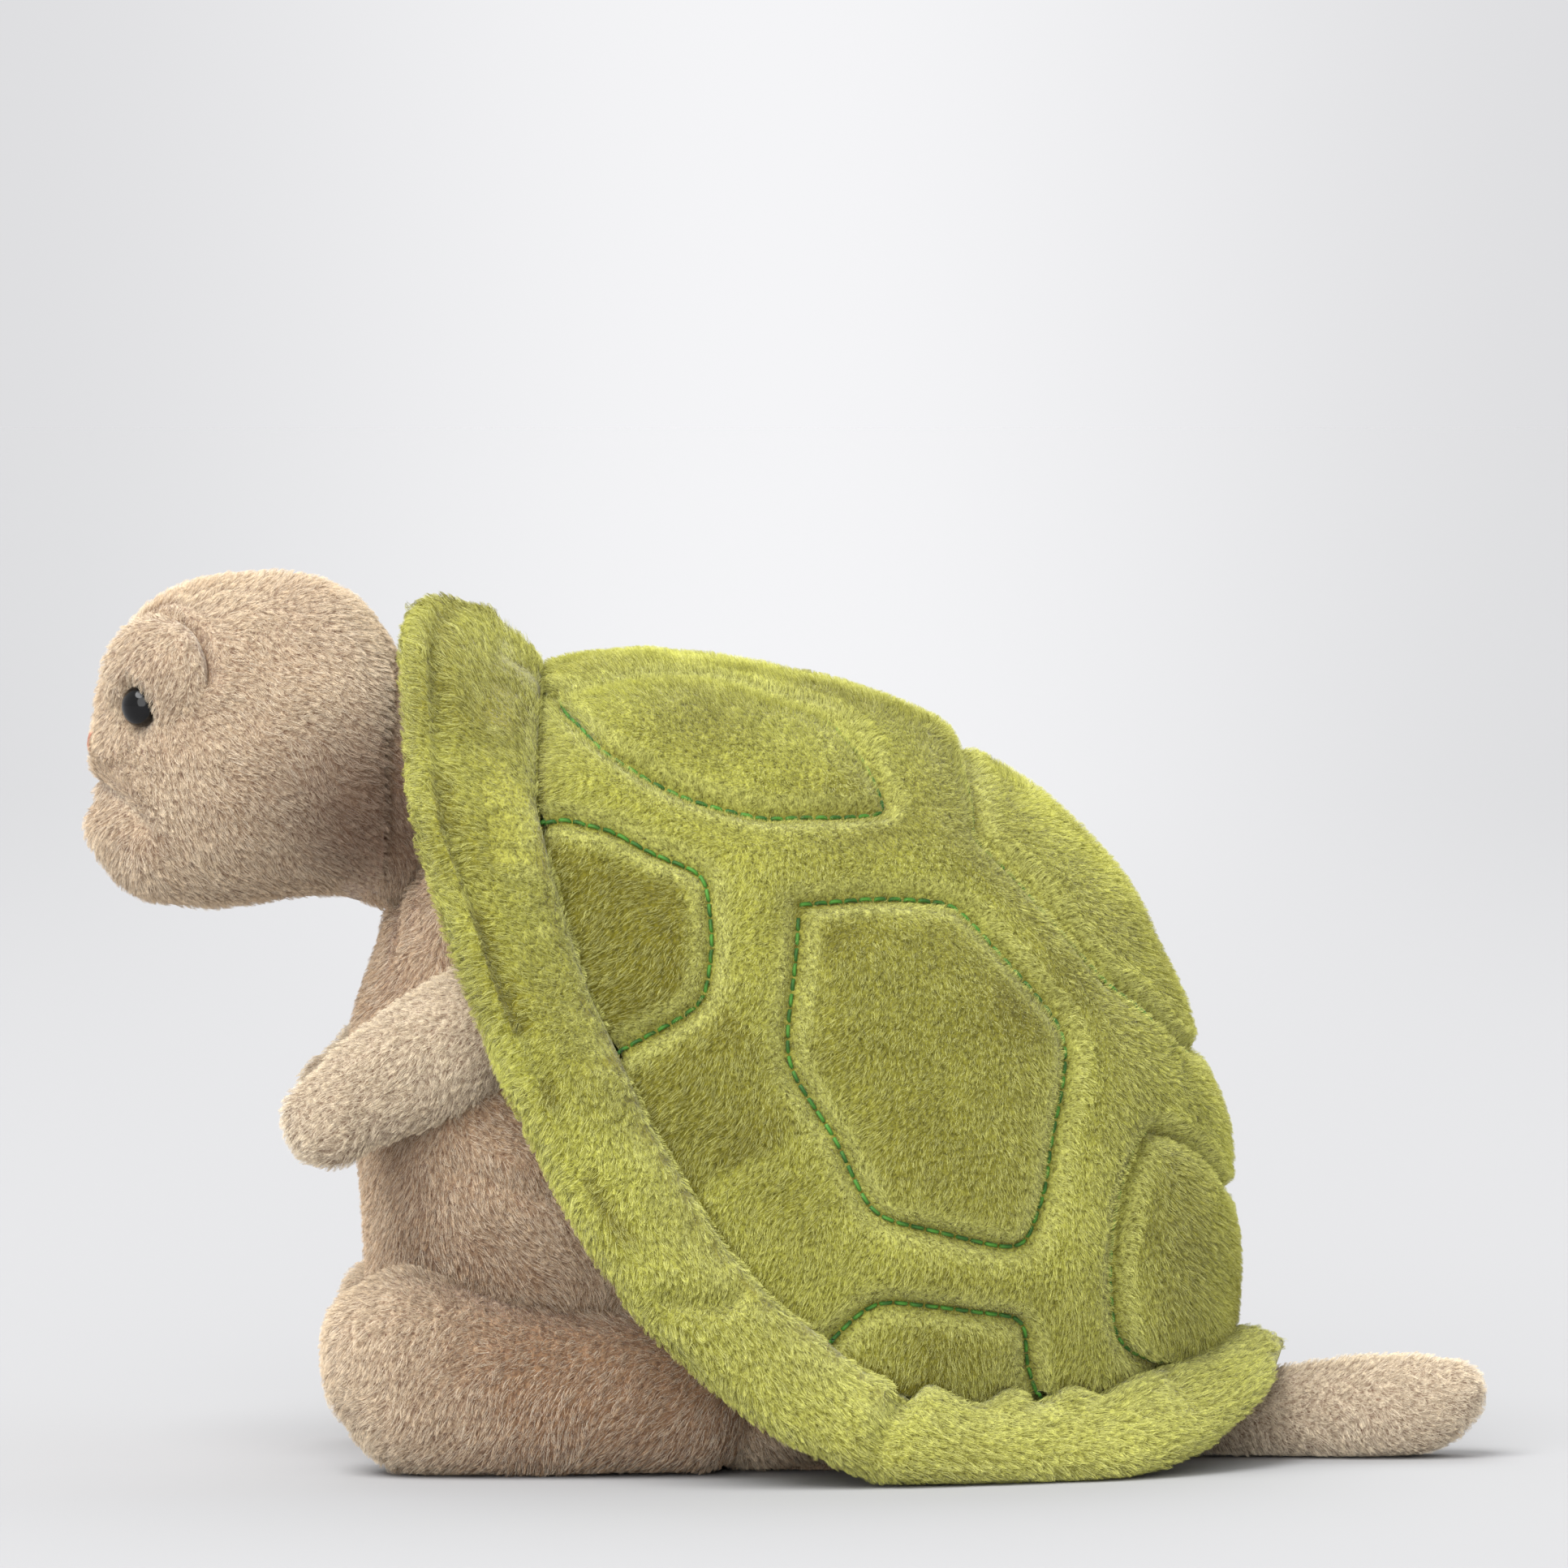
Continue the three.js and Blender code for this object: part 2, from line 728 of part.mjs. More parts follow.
/** Dome: arches from seam to seam over the ridge, closed by a straight underside. */
function domeForm(grow = 0) {
  const rings = [];
  for (let i = 0; i < shell_rings; i += 1) {
    const share = (1 - Math.cos(((i + 0.5) / shell_rings) * Math.PI)) / 2;
    const seam = outlineAt(seam_shares, share);
    const rise = riseAt(share).normalize();
    const ring = [];
    for (let j = 0; j <= arch_around; j += 1) {
      ring.push(domePoint(share, j / arch_around, grow));
    }
    const flat_steps = arch_around / 2;
    for (let j = 1; j < flat_steps; j += 1) {
      const across = -1 + (2 * j) / flat_steps;
      const point = new THREE.Vector3((seam.x + grow) * across, seam.y, seam.z);
      ring.push(point.addScaledVector(rise, -grow));
    }
    rings.push(ring);
  }
  return skinSolid(rings);
}

/** Lining: a sheet under the dome, between it and the torso. */
function liningForm(grow = 0) {
  const rings = [];
  for (let i = 1; i < shell_rings; i += 1) {
    const share = i / shell_rings;
    const seam = outlineAt(seam_shares, share);
    const rise = riseAt(share).normalize();
    const half = Math.max(seam.x - lining_margin, lining_margin) + grow;
    const top = -sewn_gap + grow;
    const low = -sewn_gap - lining_thickness - grow;
    const corners = [[half, top], [-half, top], [-half, low], [half, low]];
    rings.push(corners.map(([x, up]) => new THREE.Vector3(x, seam.y, seam.z).addScaledVector(rise, up)));
  }
  return skinSolid(rings);
}

/** Rim: a padded roll from the dome's seam out to the hem, all the way round. */
function rimForm(grow = 0) {
  const rings = [];
  for (let i = 0; i < rim_rings; i += 1) {
    const turn = (2 * i) / rim_rings;
    const left = turn <= 1;
    const share = left ? turn : 2 - turn;
    const seam = outlineAt(seam_shares, share);
    const hem = outlineAt(hem_shares, share);
    const step = 1 / rim_rings;
    const ahead = outlineAt(hem_shares, Math.min(share + step, 1));
    const behind = outlineAt(hem_shares, Math.max(share - step, 0));
    const tangent = ahead.sub(behind);
    if (share === 0 || share === 1) {
      tangent.set(shell_half_width, 0, 0);
    }
    const wide = hem.clone().sub(seam);
    const normal = new THREE.Vector3().crossVectors(tangent, wide).normalize();
    const rows = rim_thickness_shares.map((value) => [value]);
    const half_thick = (rim_thickness * smoothAt(rows, 0, share)) / 2 + grow;
    const half_wide = wide.length() / 2 + grow;
    const middle = seam.clone().add(hem).multiplyScalar(0.5);
    wide.normalize();
    const ring = [];
    for (let j = 0; j < rim_around; j += 1) {
      const [out, thick] = roundedPoint((j / rim_around) * 2 * Math.PI, rim_squareness);
      const point = middle.clone().addScaledVector(wide, half_wide * out);
      point.addScaledVector(normal, half_thick * thick);
      if (!left) {
        point.x = -point.x;
      }
      ring.push(point);
    }
    rings.push(ring);
  }
  return skinSolid(rings, true);
}

/** Bean pouch: a flat cushion low in the seat. */
function pouchForm(grow = 0) {
  const pad = new THREE.SphereGeometry(1, ball_around, ball_around / 2);
  pad.scale(pouch_half_width + grow, pouch_half_length + grow, pouch_height / 2 + grow);
  pad.translate(0, pouch_y, panel_thickness + sewn_gap + pouch_height / 2);
  return solidOf(pad);
}

/** Oval base panel, or the room for it. */
function panelForm(grow = 0) {
  const plate = new THREE.CylinderGeometry(1, 1, panel_thickness + grow, 2 * ball_around);
  plate.rotateX(Math.PI / 2);
  const half_length = pouch_half_length + panel_margin + grow;
  plate.scale(pouch_half_width + panel_margin + grow, half_length, 1);
  plate.translate(0, pouch_y, (panel_thickness + grow) / 2);
  return solidOf(plate);
}

const group = new THREE.Group();
group.name = 'plush_turtle';

/** Adds a solid to the toy under a name, in a finish. */
function addPiece(name, solid, finish) {
  const mesh = new THREE.Mesh(geometryOf(solid), new THREE.MeshStandardMaterial(finish));
  mesh.name = name;
  group.add(mesh);
}

const leg_root_height = leg_shares[0][3] * (leg_height + floor_flat_depth);
const tail_root_height = tail_shares[0][3] * (tail_height + floor_flat_depth);
const neck_pivot = new THREE.Vector3(0, neck_pivot_y, neck_pivot_z);
const arm_pivot = new THREE.Vector3(arm_pivot_x, arm_pivot_y, arm_pivot_z);
const leg_pivot = new THREE.Vector3(leg_pivot_x, leg_pivot_y, leg_root_height / 2 - floor_flat_depth);
const tail_pivot = new THREE.Vector3(0, tail_pivot_y, tail_root_height / 2 - floor_flat_depth);
const level_axis = new THREE.Vector3(-1, 0, 0);
const upright_axis = new THREE.Vector3(0, 0, 1);

// Head, eyes and eyelids
const head_whole = headForm();
const eye = eyeForm();
const eye_room = eyeForm(sewn_gap).add(washerPocket());
const lid = lidForm(headForm(sewn_gap), eyeForm(sewn_gap));
const neck_room = ballAt(neck_pivot, neck_radius + root_gap);
const head_cuts = [neck_room, eye_room, mirrored(eye_room)];
addPiece('head', mainBody(cutBy(head_whole, head_cuts)), plush_beige);
addPiece('neck', ballAt(neck_pivot, neck_radius), plush_beige);
addPiece('left_eye', eye, eye_black);
addPiece('right_eye', mirrored(eye), eye_black);
addPiece('left_eye_washer', washerForm(), washer_white);
addPiece('right_eye_washer', mirrored(washerForm()), washer_white);
addPiece('left_eyelid', lid, plush_beige);
addPiece('right_eyelid', mirrored(lid), plush_beige);

// Limbs and tail
const arm = armForm();
const leg_whole = aboveFloor(legForm());
const leg = leg_whole.trimByPlane([0, 1, 0], sole_seam_y + sewn_gap);
const sole = leg_whole.trimByPlane([0, -1, 0], -sole_seam_y);
const tail = aboveFloor(tailForm());
addPiece('left_arm', arm, plush_beige);
addPiece('right_arm', mirrored(arm), plush_beige);
addPiece('left_leg', leg, plush_beige);
addPiece('right_leg', mirrored(leg), plush_beige);
addPiece('left_sole', sole, plush_beige);
addPiece('right_sole', mirrored(sole), plush_beige);
addPiece('tail', tail, plush_beige);

// Room that the moving pieces sweep through
const arm_room = limbRoom({
  form: armForm(swing_gap),
  pivot: arm_pivot,
  radius: arm_root_radius,
  half_height: arm_root_radius,
  way: new THREE.Vector3(arm_spread, -arm_reach, -arm_drop),
  axis: level_axis,
  from_deg: arm_low_deg,
  to_deg: arm_high_deg,
});
const leg_room = limbRoom({
  form: legForm(swing_gap),
  pivot: leg_pivot,
  radius: leg_root_radius,
  half_height: leg_root_height / 2,
  way: new THREE.Vector3(0, -leg_reach, 0),
  axis: upright_axis,
  from_deg: leg_in_deg,
  to_deg: leg_out_deg,
});
const tail_room = limbRoom({
  form: tailForm(swing_gap),
  pivot: tail_pivot,
  radius: tail_root_radius,
  half_height: tail_root_height / 2,
  way: new THREE.Vector3(0, tail_reach, 0),
  axis: upright_axis,
  from_deg: -tail_wag_deg,
  to_deg: tail_wag_deg,
});
const lip_room = ballAt(neck_pivot, neck_lip_radius).trimByPlane([0, -1, 0], -neck_pivot_y - neck_lip_back);
const head_back = headForm(swing_gap).trimByPlane([0, 1, 0], neck_pivot_y - head_back_length);
const nod_room = sweptAbout(head_back, neck_pivot, level_axis, head_down_deg, head_up_deg);
const head_room = sweptAbout(nod_room, neck_pivot, upright_axis, -head_turn_deg, head_turn_deg);
const limb_rooms = [arm_room, mirrored(arm_room), leg_room, mirrored(leg_room), tail_room];

// Shell
const channels = [
  channelForm(overRidge(spine_scute_shares).slice(0, -1), true),
  channelForm(overRidge(tail_scute_shares), false),
];
for (const side_channel of [
  channelForm(neck_scute_shares, false),
  channelForm(front_scute_shares, false),
  channelForm(side_scute_shares, true),
  channelForm(low_scute_shares, false),
]) {
  channels.push(side_channel, mirrored(side_channel));
}
const dome = cutBy(domeForm(), channels).simplify(smoothing);
const rim = cutBy(rimForm(), [domeForm(seam_gap), neck_room, lip_room, head_room, tail_room]);
addPiece('shell_dome', dome, plush_green);
addPiece('shell_rim', mainBody(aboveFloor(rim)), plush_green);
const lining_cuts = [domeForm(sewn_gap), rimForm(sewn_gap), neck_room, head_room, tail_room];
addPiece('shell_lining', mainBody(cutBy(liningForm(), lining_cuts)), lining_green);

// Torso with its pouch and base panel
const torso_cuts = [domeForm(sewn_gap), liningForm(sewn_gap), rimForm(sewn_gap), neck_room, lip_room, head_room];
torso_cuts.push(...limb_rooms, pouchForm(sewn_gap), panelForm(sewn_gap));
const torso_whole = aboveFloor(bellyForm().add(seatForm()));
addPiece('torso', mainBody(cutBy(torso_whole, torso_cuts).simplify(smoothing)), plush_beige);
addPiece('bean_pouch', pouchForm(), pouch_cloth);
addPiece('seat_panel', panelForm(), plush_beige);

export default group;
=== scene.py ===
"""Plush turtle sitting on a floor: its visible soft pieces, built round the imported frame.

The turtle faces -Y, +Z is up and its own left side is +X. Sizes in this file are in
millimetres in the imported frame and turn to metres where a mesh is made.
"""

import logging
import math
from contextlib import contextmanager
from dataclasses import dataclass, replace
from enum import Enum
from typing import Callable, Iterable, Iterator, Optional, Sequence

import bmesh
import bpy
import numpy as np
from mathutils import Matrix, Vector, noise
from mathutils.bvhtree import BVHTree
from mathutils.kdtree import KDTree


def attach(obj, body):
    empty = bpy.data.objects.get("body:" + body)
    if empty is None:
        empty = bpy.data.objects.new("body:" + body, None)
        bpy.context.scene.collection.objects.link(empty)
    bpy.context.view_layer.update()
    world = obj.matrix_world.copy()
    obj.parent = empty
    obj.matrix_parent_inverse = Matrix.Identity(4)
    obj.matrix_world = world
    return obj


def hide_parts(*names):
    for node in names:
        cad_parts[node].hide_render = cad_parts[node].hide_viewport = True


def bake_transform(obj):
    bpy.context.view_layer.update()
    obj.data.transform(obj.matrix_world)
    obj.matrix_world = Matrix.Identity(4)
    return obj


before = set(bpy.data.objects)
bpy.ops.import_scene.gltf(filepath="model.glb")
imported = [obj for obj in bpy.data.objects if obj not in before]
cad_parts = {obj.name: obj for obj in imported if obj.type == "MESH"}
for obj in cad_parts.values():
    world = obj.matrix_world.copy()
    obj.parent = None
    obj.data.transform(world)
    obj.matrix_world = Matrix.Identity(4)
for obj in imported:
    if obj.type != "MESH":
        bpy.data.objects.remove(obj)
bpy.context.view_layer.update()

ROOT = "shell_and_torso"
LOG = logging.getLogger("plush_turtle")

MM = 0.001
# How far a soft skin stays off the floor, for the fibres below it
FLOOR_GAP = 0.35
# Spacing of the points along sewn lines
LINE_STEP = 0.8
# How far from a surface its distance is still measured
SEARCH = 16.0
# Somewhere well outside the toy, to the side and in front
FAR_OUT = 150.0
FAR_AHEAD = 260.0
# Radians that Blender's wave pattern turns in one unit at a scale of 1
WAVE_UNITS = 20
# Share of the hem over which its direction is taken
HEM_STEP = 1 / 52
# Size, height and shift in the pattern of the stuffing's large and small bumps
BUMPS = ((22.0, 0.7, 0.0), (8.0, 0.3, 9.0))
# Height of the swell beside a crease, its width and its distance, as shares of the crease's
BESIDE_CREASE = (0.35, 1.3, 2.6)
# How strongly a parted pile leans away from the parting, and how near that is measured
PARTED_LEAN = 1.6
PARTED_NEAR = 0.3
# Size of the small swirls that handling leaves in a pile
SWIRL_SIZE = 14.0
# Steps in which a pile's density and length are noted
LEVELS = 20
# Points this near to each other are one
WELD_GAP = 0.002
# How far off a skin the search for a point on it starts
OFF_SKIN = 25.0
# Less than any length that matters
EPSILON = 1e-9

Rows = Sequence[Sequence[float]]
Point = tuple[float, float, float]
Object = bpy.types.Object
Material = bpy.types.Material
Node = bpy.types.Node
Socket = bpy.types.NodeSocket
Tree = bpy.types.NodeTree

# Half of the shell's seam and hem, from the neck's top round the left side to above the
# tail: shares of the half width, the length and the height.
SEAM: Rows = (
    (0, -0.173, 0.894), (0.36, -0.177, 0.843), (0.65, -0.177, 0.738), (0.735, -0.156, 0.605),
    (0.8, -0.133, 0.512), (0.85, -0.094, 0.382), (0.87, -0.037, 0.241), (0.86, 0.019, 0.16),
    (0.82, 0.07, 0.1), (0.73, 0.132, 0.083), (0.6, 0.212, 0.085), (0.43, 0.27, 0.104),
    (0.25, 0.307, 0.127), (0, 0.321, 0.142),
)
HEM: Rows = (
    (0, -0.253, 0.955), (0.4, -0.268, 0.908), (0.71, -0.261, 0.742), (0.85, -0.237, 0.618),
    (0.93, -0.208, 0.496), (0.98, -0.153, 0.309), (1, -0.093, 0.18), (0.99, -0.017, 0.07),
    (0.94, 0.058, 0.016), (0.85, 0.139, 0.002), (0.7, 0.232, 0.004), (0.5, 0.298, 0.036),
    (0.31, 0.341, 0.08), (0, 0.361, 0.124),
)
# Ridge of the dome: along the length and up the height
RIDGE: Rows = (
    (-0.173, 0.894), (-0.15, 0.905), (-0.09, 0.912), (0, 0.893), (0.08, 0.854),
    (0.163, 0.776), (0.235, 0.668), (0.277, 0.565), (0.301, 0.453), (0.318, 0.348),
    (0.325, 0.265), (0.325, 0.205), (0.323, 0.165), (0.321, 0.142),
)


class Side(Enum):
    """The turtle's own left and right, as the sign of X."""

    LEFT = 1
    RIGHT = -1

    @property
    def word(self) -> str:
        """Name of the side as node names use it."""
        return self.name.lower()


class Slot(Enum):
    """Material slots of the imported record."""

    BEIGE = "beige_plush"
    GREEN = "green_plush"
    LINING = "green_lining"
    POUCH = "pouch_cloth"
    EYE = "black_eye"


# Colour and nodes


def linear(colour: str) -> tuple[float, float, float, float]:
    """Turns an sRGB hex colour to linear light.

    Args:
        colour: Six hex digits.

    Returns:
        Linear red, green and blue, and an alpha of 1.
    """
    parts = [int(colour[i : i + 2], 16) / 255 for i in (0, 2, 4)]
    lit = [c / 12.92 if c <= 0.04045 else ((c + 0.055) / 1.055) ** 2.4 for c in parts]
    return (lit[0], lit[1], lit[2], 1.0)


def add_node(tree: Tree, kind: str, inputs: Optional[dict] = None, **settings: str) -> Node:
    """Adds a node to a tree with its settings, socket values and incoming links.

    Args:
        tree: Tree that gets the node.
        kind: Blender's name for the node, after its ShaderNode.
        inputs: By name or number, an input's value or the output to join to it.
        settings: Properties of the node by name.

    Returns:
        The new node.
    """
    node = tree.nodes.new(f"ShaderNode{kind}")
    for name, value in settings.items():
        setattr(node, name, value)
    for name, value in (inputs or {}).items():
        if isinstance(value, Socket):
            tree.links.new(value, node.inputs[name])
        else:
            node.inputs[name].default_value = value
    return node


def place_on(tree: Tree) -> Socket:
    """Place on the object, in metres."""
    return add_node(tree, "TexCoord").outputs["Object"]


def computed(tree: Tree, operation: str, *values: float | Socket) -> Socket:
    """Result of an operation on values or outputs."""
    return add_node(tree, "Math", dict(enumerate(values)), operation=operation).outputs[0]


def mapped(
    tree: Tree,
    value: Socket,
    start: float = 0.0,
    end: float = 1.0,
    low: float | Socket = 0.0,
    high: float = 1.0,
    smooth: bool = False,
) -> Socket:
    """Carries a value from one range to another, and holds it at the ends.

    Args:
        tree: Tree that gets the node.
        value: The value's output.
        start: Where the value's range starts.
        end: Where it ends.
        low: What the start becomes.
        high: What the end becomes.
        smooth: Whether it eases in and out.

    Returns:
        The result's output.
    """
    inputs = {"Value": value, "From Min": start, "From Max": end, "To Min": low, "To Max": high}
    way = "SMOOTHSTEP" if smooth else "LINEAR"
    return add_node(tree, "MapRange", inputs, interpolation_type=way).outputs["Result"]


def blended(tree: Tree, share: Socket, first: str | Socket, second: str | Socket) -> Socket:
    """Mix of two colours, each six hex digits or an output, by the second one's share."""
    ends = [linear(end) if isinstance(end, str) else end for end in (first, second)]
    return add_node(tree, "Mix", {0: share, 6: ends[0], 7: ends[1]}, data_type="RGBA").outputs[2]


def per_metre(size_mm: float) -> float:
    """Scale of a noise pattern whose grain is size_mm across."""
    return 1000.0 / size_mm


def speckle(
    tree: Tree, size_mm: float, detail: float = 2.0, roughness: float = 0.5, twist: float = 0.0
) -> Socket:
    """Adds an irregular pattern over the object.

    Args:
        tree: Tree that gets the nodes.
        size_mm: Size of its grain.
        detail: How many finer patterns lie on it.
        roughness: How strong these are.
        twist: How far it is distorted.

    Returns:
        The pattern's output, from 0 to 1.
    """
    inputs = {"Scale": per_metre(size_mm), "Detail": detail, "Roughness": roughness}
    inputs.update({"Distortion": twist, "Vector": place_on(tree)})
    return add_node(tree, "TexNoise", inputs).outputs["Fac"]


def ribs(tree: Tree, size_mm: float, way: str, twist: float) -> Socket:
    """Adds a pattern of parallel threads over the object.

    Args:
        tree: Tree that gets the nodes.
        size_mm: About a sixth of the distance from thread to thread.
        way: Blender's word for the threads' direction.
        twist: How far they are distorted.

    Returns:
        The pattern's output, from 0 to 1.
    """
    scale = per_metre(size_mm) / WAVE_UNITS
    inputs = {"Scale": scale, "Distortion": twist, "Vector": place_on(tree)}
    return add_node(tree, "TexWave", inputs, bands_direction=way).outputs["Fac"]


def relief(tree: Tree, height: Socket, depth_mm: float, strength: float) -> Socket:
    """Relief of a pattern that is depth_mm deep, as a normal."""
    inputs = {"Height": height, "Distance": depth_mm * MM, "Strength": strength}
    return add_node(tree, "Bump", inputs).outputs["Normal"]


def new_material(name: str) -> tuple[Material, Tree]:
    """Makes an empty node material.

    Args:
        name: Name of the material.

    Returns:
        The material and its cleared tree.
    """
    material = bpy.data.materials.new(name)
    material.use_nodes = True
    material.node_tree.nodes.clear()
    return material, material.node_tree


def surfaced(tree: Tree, inputs: dict) -> None:
    """Adds a material's shader with its inputs, and its output."""
    shader = add_node(tree, "BsdfPrincipled", inputs)
    add_node(tree, "OutputMaterial", {"Surface": shader.outputs[0]})


@dataclass(frozen=True)
class PlushCloth:
    """Polyester minky plush: a knitted backing with a brushed, cut pile.

    The pile scatters light, so the cloth is matt with a soft pale edge, and its tufts give
    a fine mottle of light tips, with painted shade in the gaps between them and at the
    fibres' roots. A darker tone marks where the pile stands up and the eye sees down to its
    shaded roots, and also paints shade into channels, creases, crevices and parts that lie in
    shade. A paler tone marks where the pile is brushed flat beside a seam, and also paints
    light onto parts that are lit more. Round folds at the neck the colour gets painted shade.
    """

    name: str
    base: str
    light: str
    shade: str
    # Painted shade in the gaps and at the roots, then the darker tone, which also paints shade, and
    # the paler one, which also paints light
    gap_shade: str
    stood_and_shade: str
    combed_and_lit: str
    patch_mm: float = 16.0
    tuft_mm: float = 1.2
    fibre_mm: float = 0.5
    # Painted shade round folds: its colour, its middle and its reach
    fold_shade: Optional[str] = None
    fold_shade_at: Point = (0.0, 0.0, 0.0)
    fold_shade_mm: float = 30.0

    def lay(self, tree: Tree) -> list[Socket]:
        """Shares of the darker tone, for standing pile and painted shade, and of the paler tone,
        for brushed-flat pile and painted light, as marked on the mesh.
        """
        marked = add_node(tree, "Attribute", attribute_name="lay")
        return add_node(tree, "SeparateColor", {0: marked.outputs["Color"]}).outputs[:2]

    def tint(self, tree: Tree) -> Socket:
        """Adds the slow change of colour and the pile's tones, with painted shade and light.

        Args:
            tree: Tree of the material.

        Returns:
            The colour's output.
        """
        patch = mapped(tree, speckle(tree, self.patch_mm, 3.0, 0.6), 0.3, 0.7)
        colour = blended(tree, patch, self.shade, self.base)
        for share, tone in zip(self.lay(tree), (self.stood_and_shade, self.combed_and_lit)):
            colour = blended(tree, share, colour, tone)
        return colour

    def fold_shaded(self, tree: Tree, colour: Socket) -> Socket:
        """Darkens a colour with painted shade round the place where the cloth lies in folds, partly
        also the darker way the pile lies there.

        Args:
            tree: Tree of the material.
            colour: The colour's output.

        Returns:
            The darkened colour's output.
        """
        if self.fold_shade is None:
            return colour
        centre = tuple(c * MM for c in self.fold_shade_at)
        away = add_node(tree, "VectorMath", {0: place_on(tree), 1: centre}, operation="DISTANCE")
        reach = self.fold_shade_mm * MM
        near = mapped(tree, away.outputs["Value"], reach, 0.15 * reach, high=0.75, smooth=True)
        return blended(tree, near, colour, self.fold_shade)

    def backing(self) -> Material:
        """Makes the cloth itself, which also reads as plush where no fibres are drawn.

        Returns:
            The material.
        """
        material, tree = new_material(f"{self.name}_cut_pile")
        tufts = speckle(tree, self.tuft_mm, 4.0, 0.65)
        height = computed(
            tree, "MULTIPLY_ADD", speckle(tree, self.fibre_mm, twist=0.6), 0.45, tufts
        )
        # Painted shade in the gaps between the tufts
        gap = mapped(tree, height, 0.5, 0.9, high=0.75)
        colour = blended(tree, gap, self.gap_shade, self.tint(tree))
        look = {"Roughness": 0.95, "Specular IOR Level": 0.15}
        look.update({"Sheen Weight": 0.35, "Sheen Roughness": 0.5})
        look.update({"Base Color": self.fold_shaded(tree, colour)})
        look.update({"Normal": relief(tree, height, 0.9, 0.8)})
        surfaced(tree, look)
        return material

    def fibre(self) -> Material:
        """Makes the single fibres, with painted shade at the root and light at the tip.

        Returns:
            The material.
        """
        material, tree = new_material(f"{self.name}_fibre")
        strand = add_node(tree, "HairInfo").outputs
        # Painted shade at the roots and between the tufts, more where the darker tone is marked
        gaps = mapped(tree, self.lay(tree)[0], low=0.5, high=0.0)
        crown = mapped(tree, speckle(tree, self.tuft_mm, 2.5, 0.6), 0.4, 0.57, gaps)
        rise = mapped(tree, strand["Intercept"], 0.0, 0.7, 0.1)
        share = computed(tree, "MULTIPLY", rise, crown)
        body = blended(tree, share, self.gap_shade, self.tint(tree))
        chance = mapped(tree, strand["Random"], 0.4, 1.0, high=0.85)
        colour = self.fold_shaded(tree, blended(tree, chance, body, self.light))
        look = {"Roughness": 0.85, "Specular IOR Level": 0.2, "Sheen Weight": 0.2}
        surfaced(tree, look | {"Base Color": colour})
        return material


@dataclass(frozen=True)
class WovenCloth:
    """Plain-woven polyester: flat threads that cross, seen as a fine even grid."""

    name: str
    colour: str
    shade: str
    thread_mm: float = 0.8

    def make(self) -> Material:
        """Makes the cloth with its weave as relief.

        Returns:
            The material.
        """
        material, tree = new_material(f"{self.name}_woven")
        warp, weft = (ribs(tree, self.thread_mm, way, 0.4) for way in ("X", "Y"))
        weave = computed(tree, "MAXIMUM", warp, weft)
        look = {"Roughness": 0.85, "Specular IOR Level": 0.2, "Sheen Weight": 0.2}
        look.update({"Base Color": blended(tree, weave, self.shade, self.colour)})
        surfaced(tree, look | {"Normal": relief(tree, weave, 0.2, 0.5)})
        return material


@dataclass(frozen=True)
class MouldedPlastic:
    """Injection-moulded plastic: an even colour with faint flow marks and handling haze."""

    name: str
    colour: str
    shade: str
    roughness: float
    gloss: float = 1.5
    flow_mm: float = 3.0

    def make(self) -> Material:
        """Makes the plastic, whose flow marks change its colour and its gloss a little.

        Returns:
            The material.
        """
        material, tree = new_material(f"{self.name}_moulded")
        flow = speckle(tree, self.flow_mm)
        haze = mapped(tree, flow, low=self.roughness * 0.8, high=self.roughness * 1.3)
        look = {"Roughness": haze, "IOR": self.gloss, "Coat Weight": 0.0}
        surfaced(tree, look | {"Base Color": blended(tree, flow, self.shade, self.colour)})
        return material


@dataclass(frozen=True)
class SewingThread:
    """Twisted polyester thread: a slight lustre and fine slanting plies."""

    name: str
    colour: str
    shade: str
    ply_mm: float = 0.5

    def make(self) -> Material:
        """Makes the thread.

        Returns:
            The material.
        """
        material, tree = new_material(f"{self.name}_twisted")
        plies = ribs(tree, self.ply_mm, "DIAGONAL", 1.0)
        look = {"Roughness": 0.55, "Specular IOR Level": 0.4, "Sheen Weight": 0.1}
        surfaced(tree, look | {"Base Color": blended(tree, plies, self.shade, self.colour)})
        return material


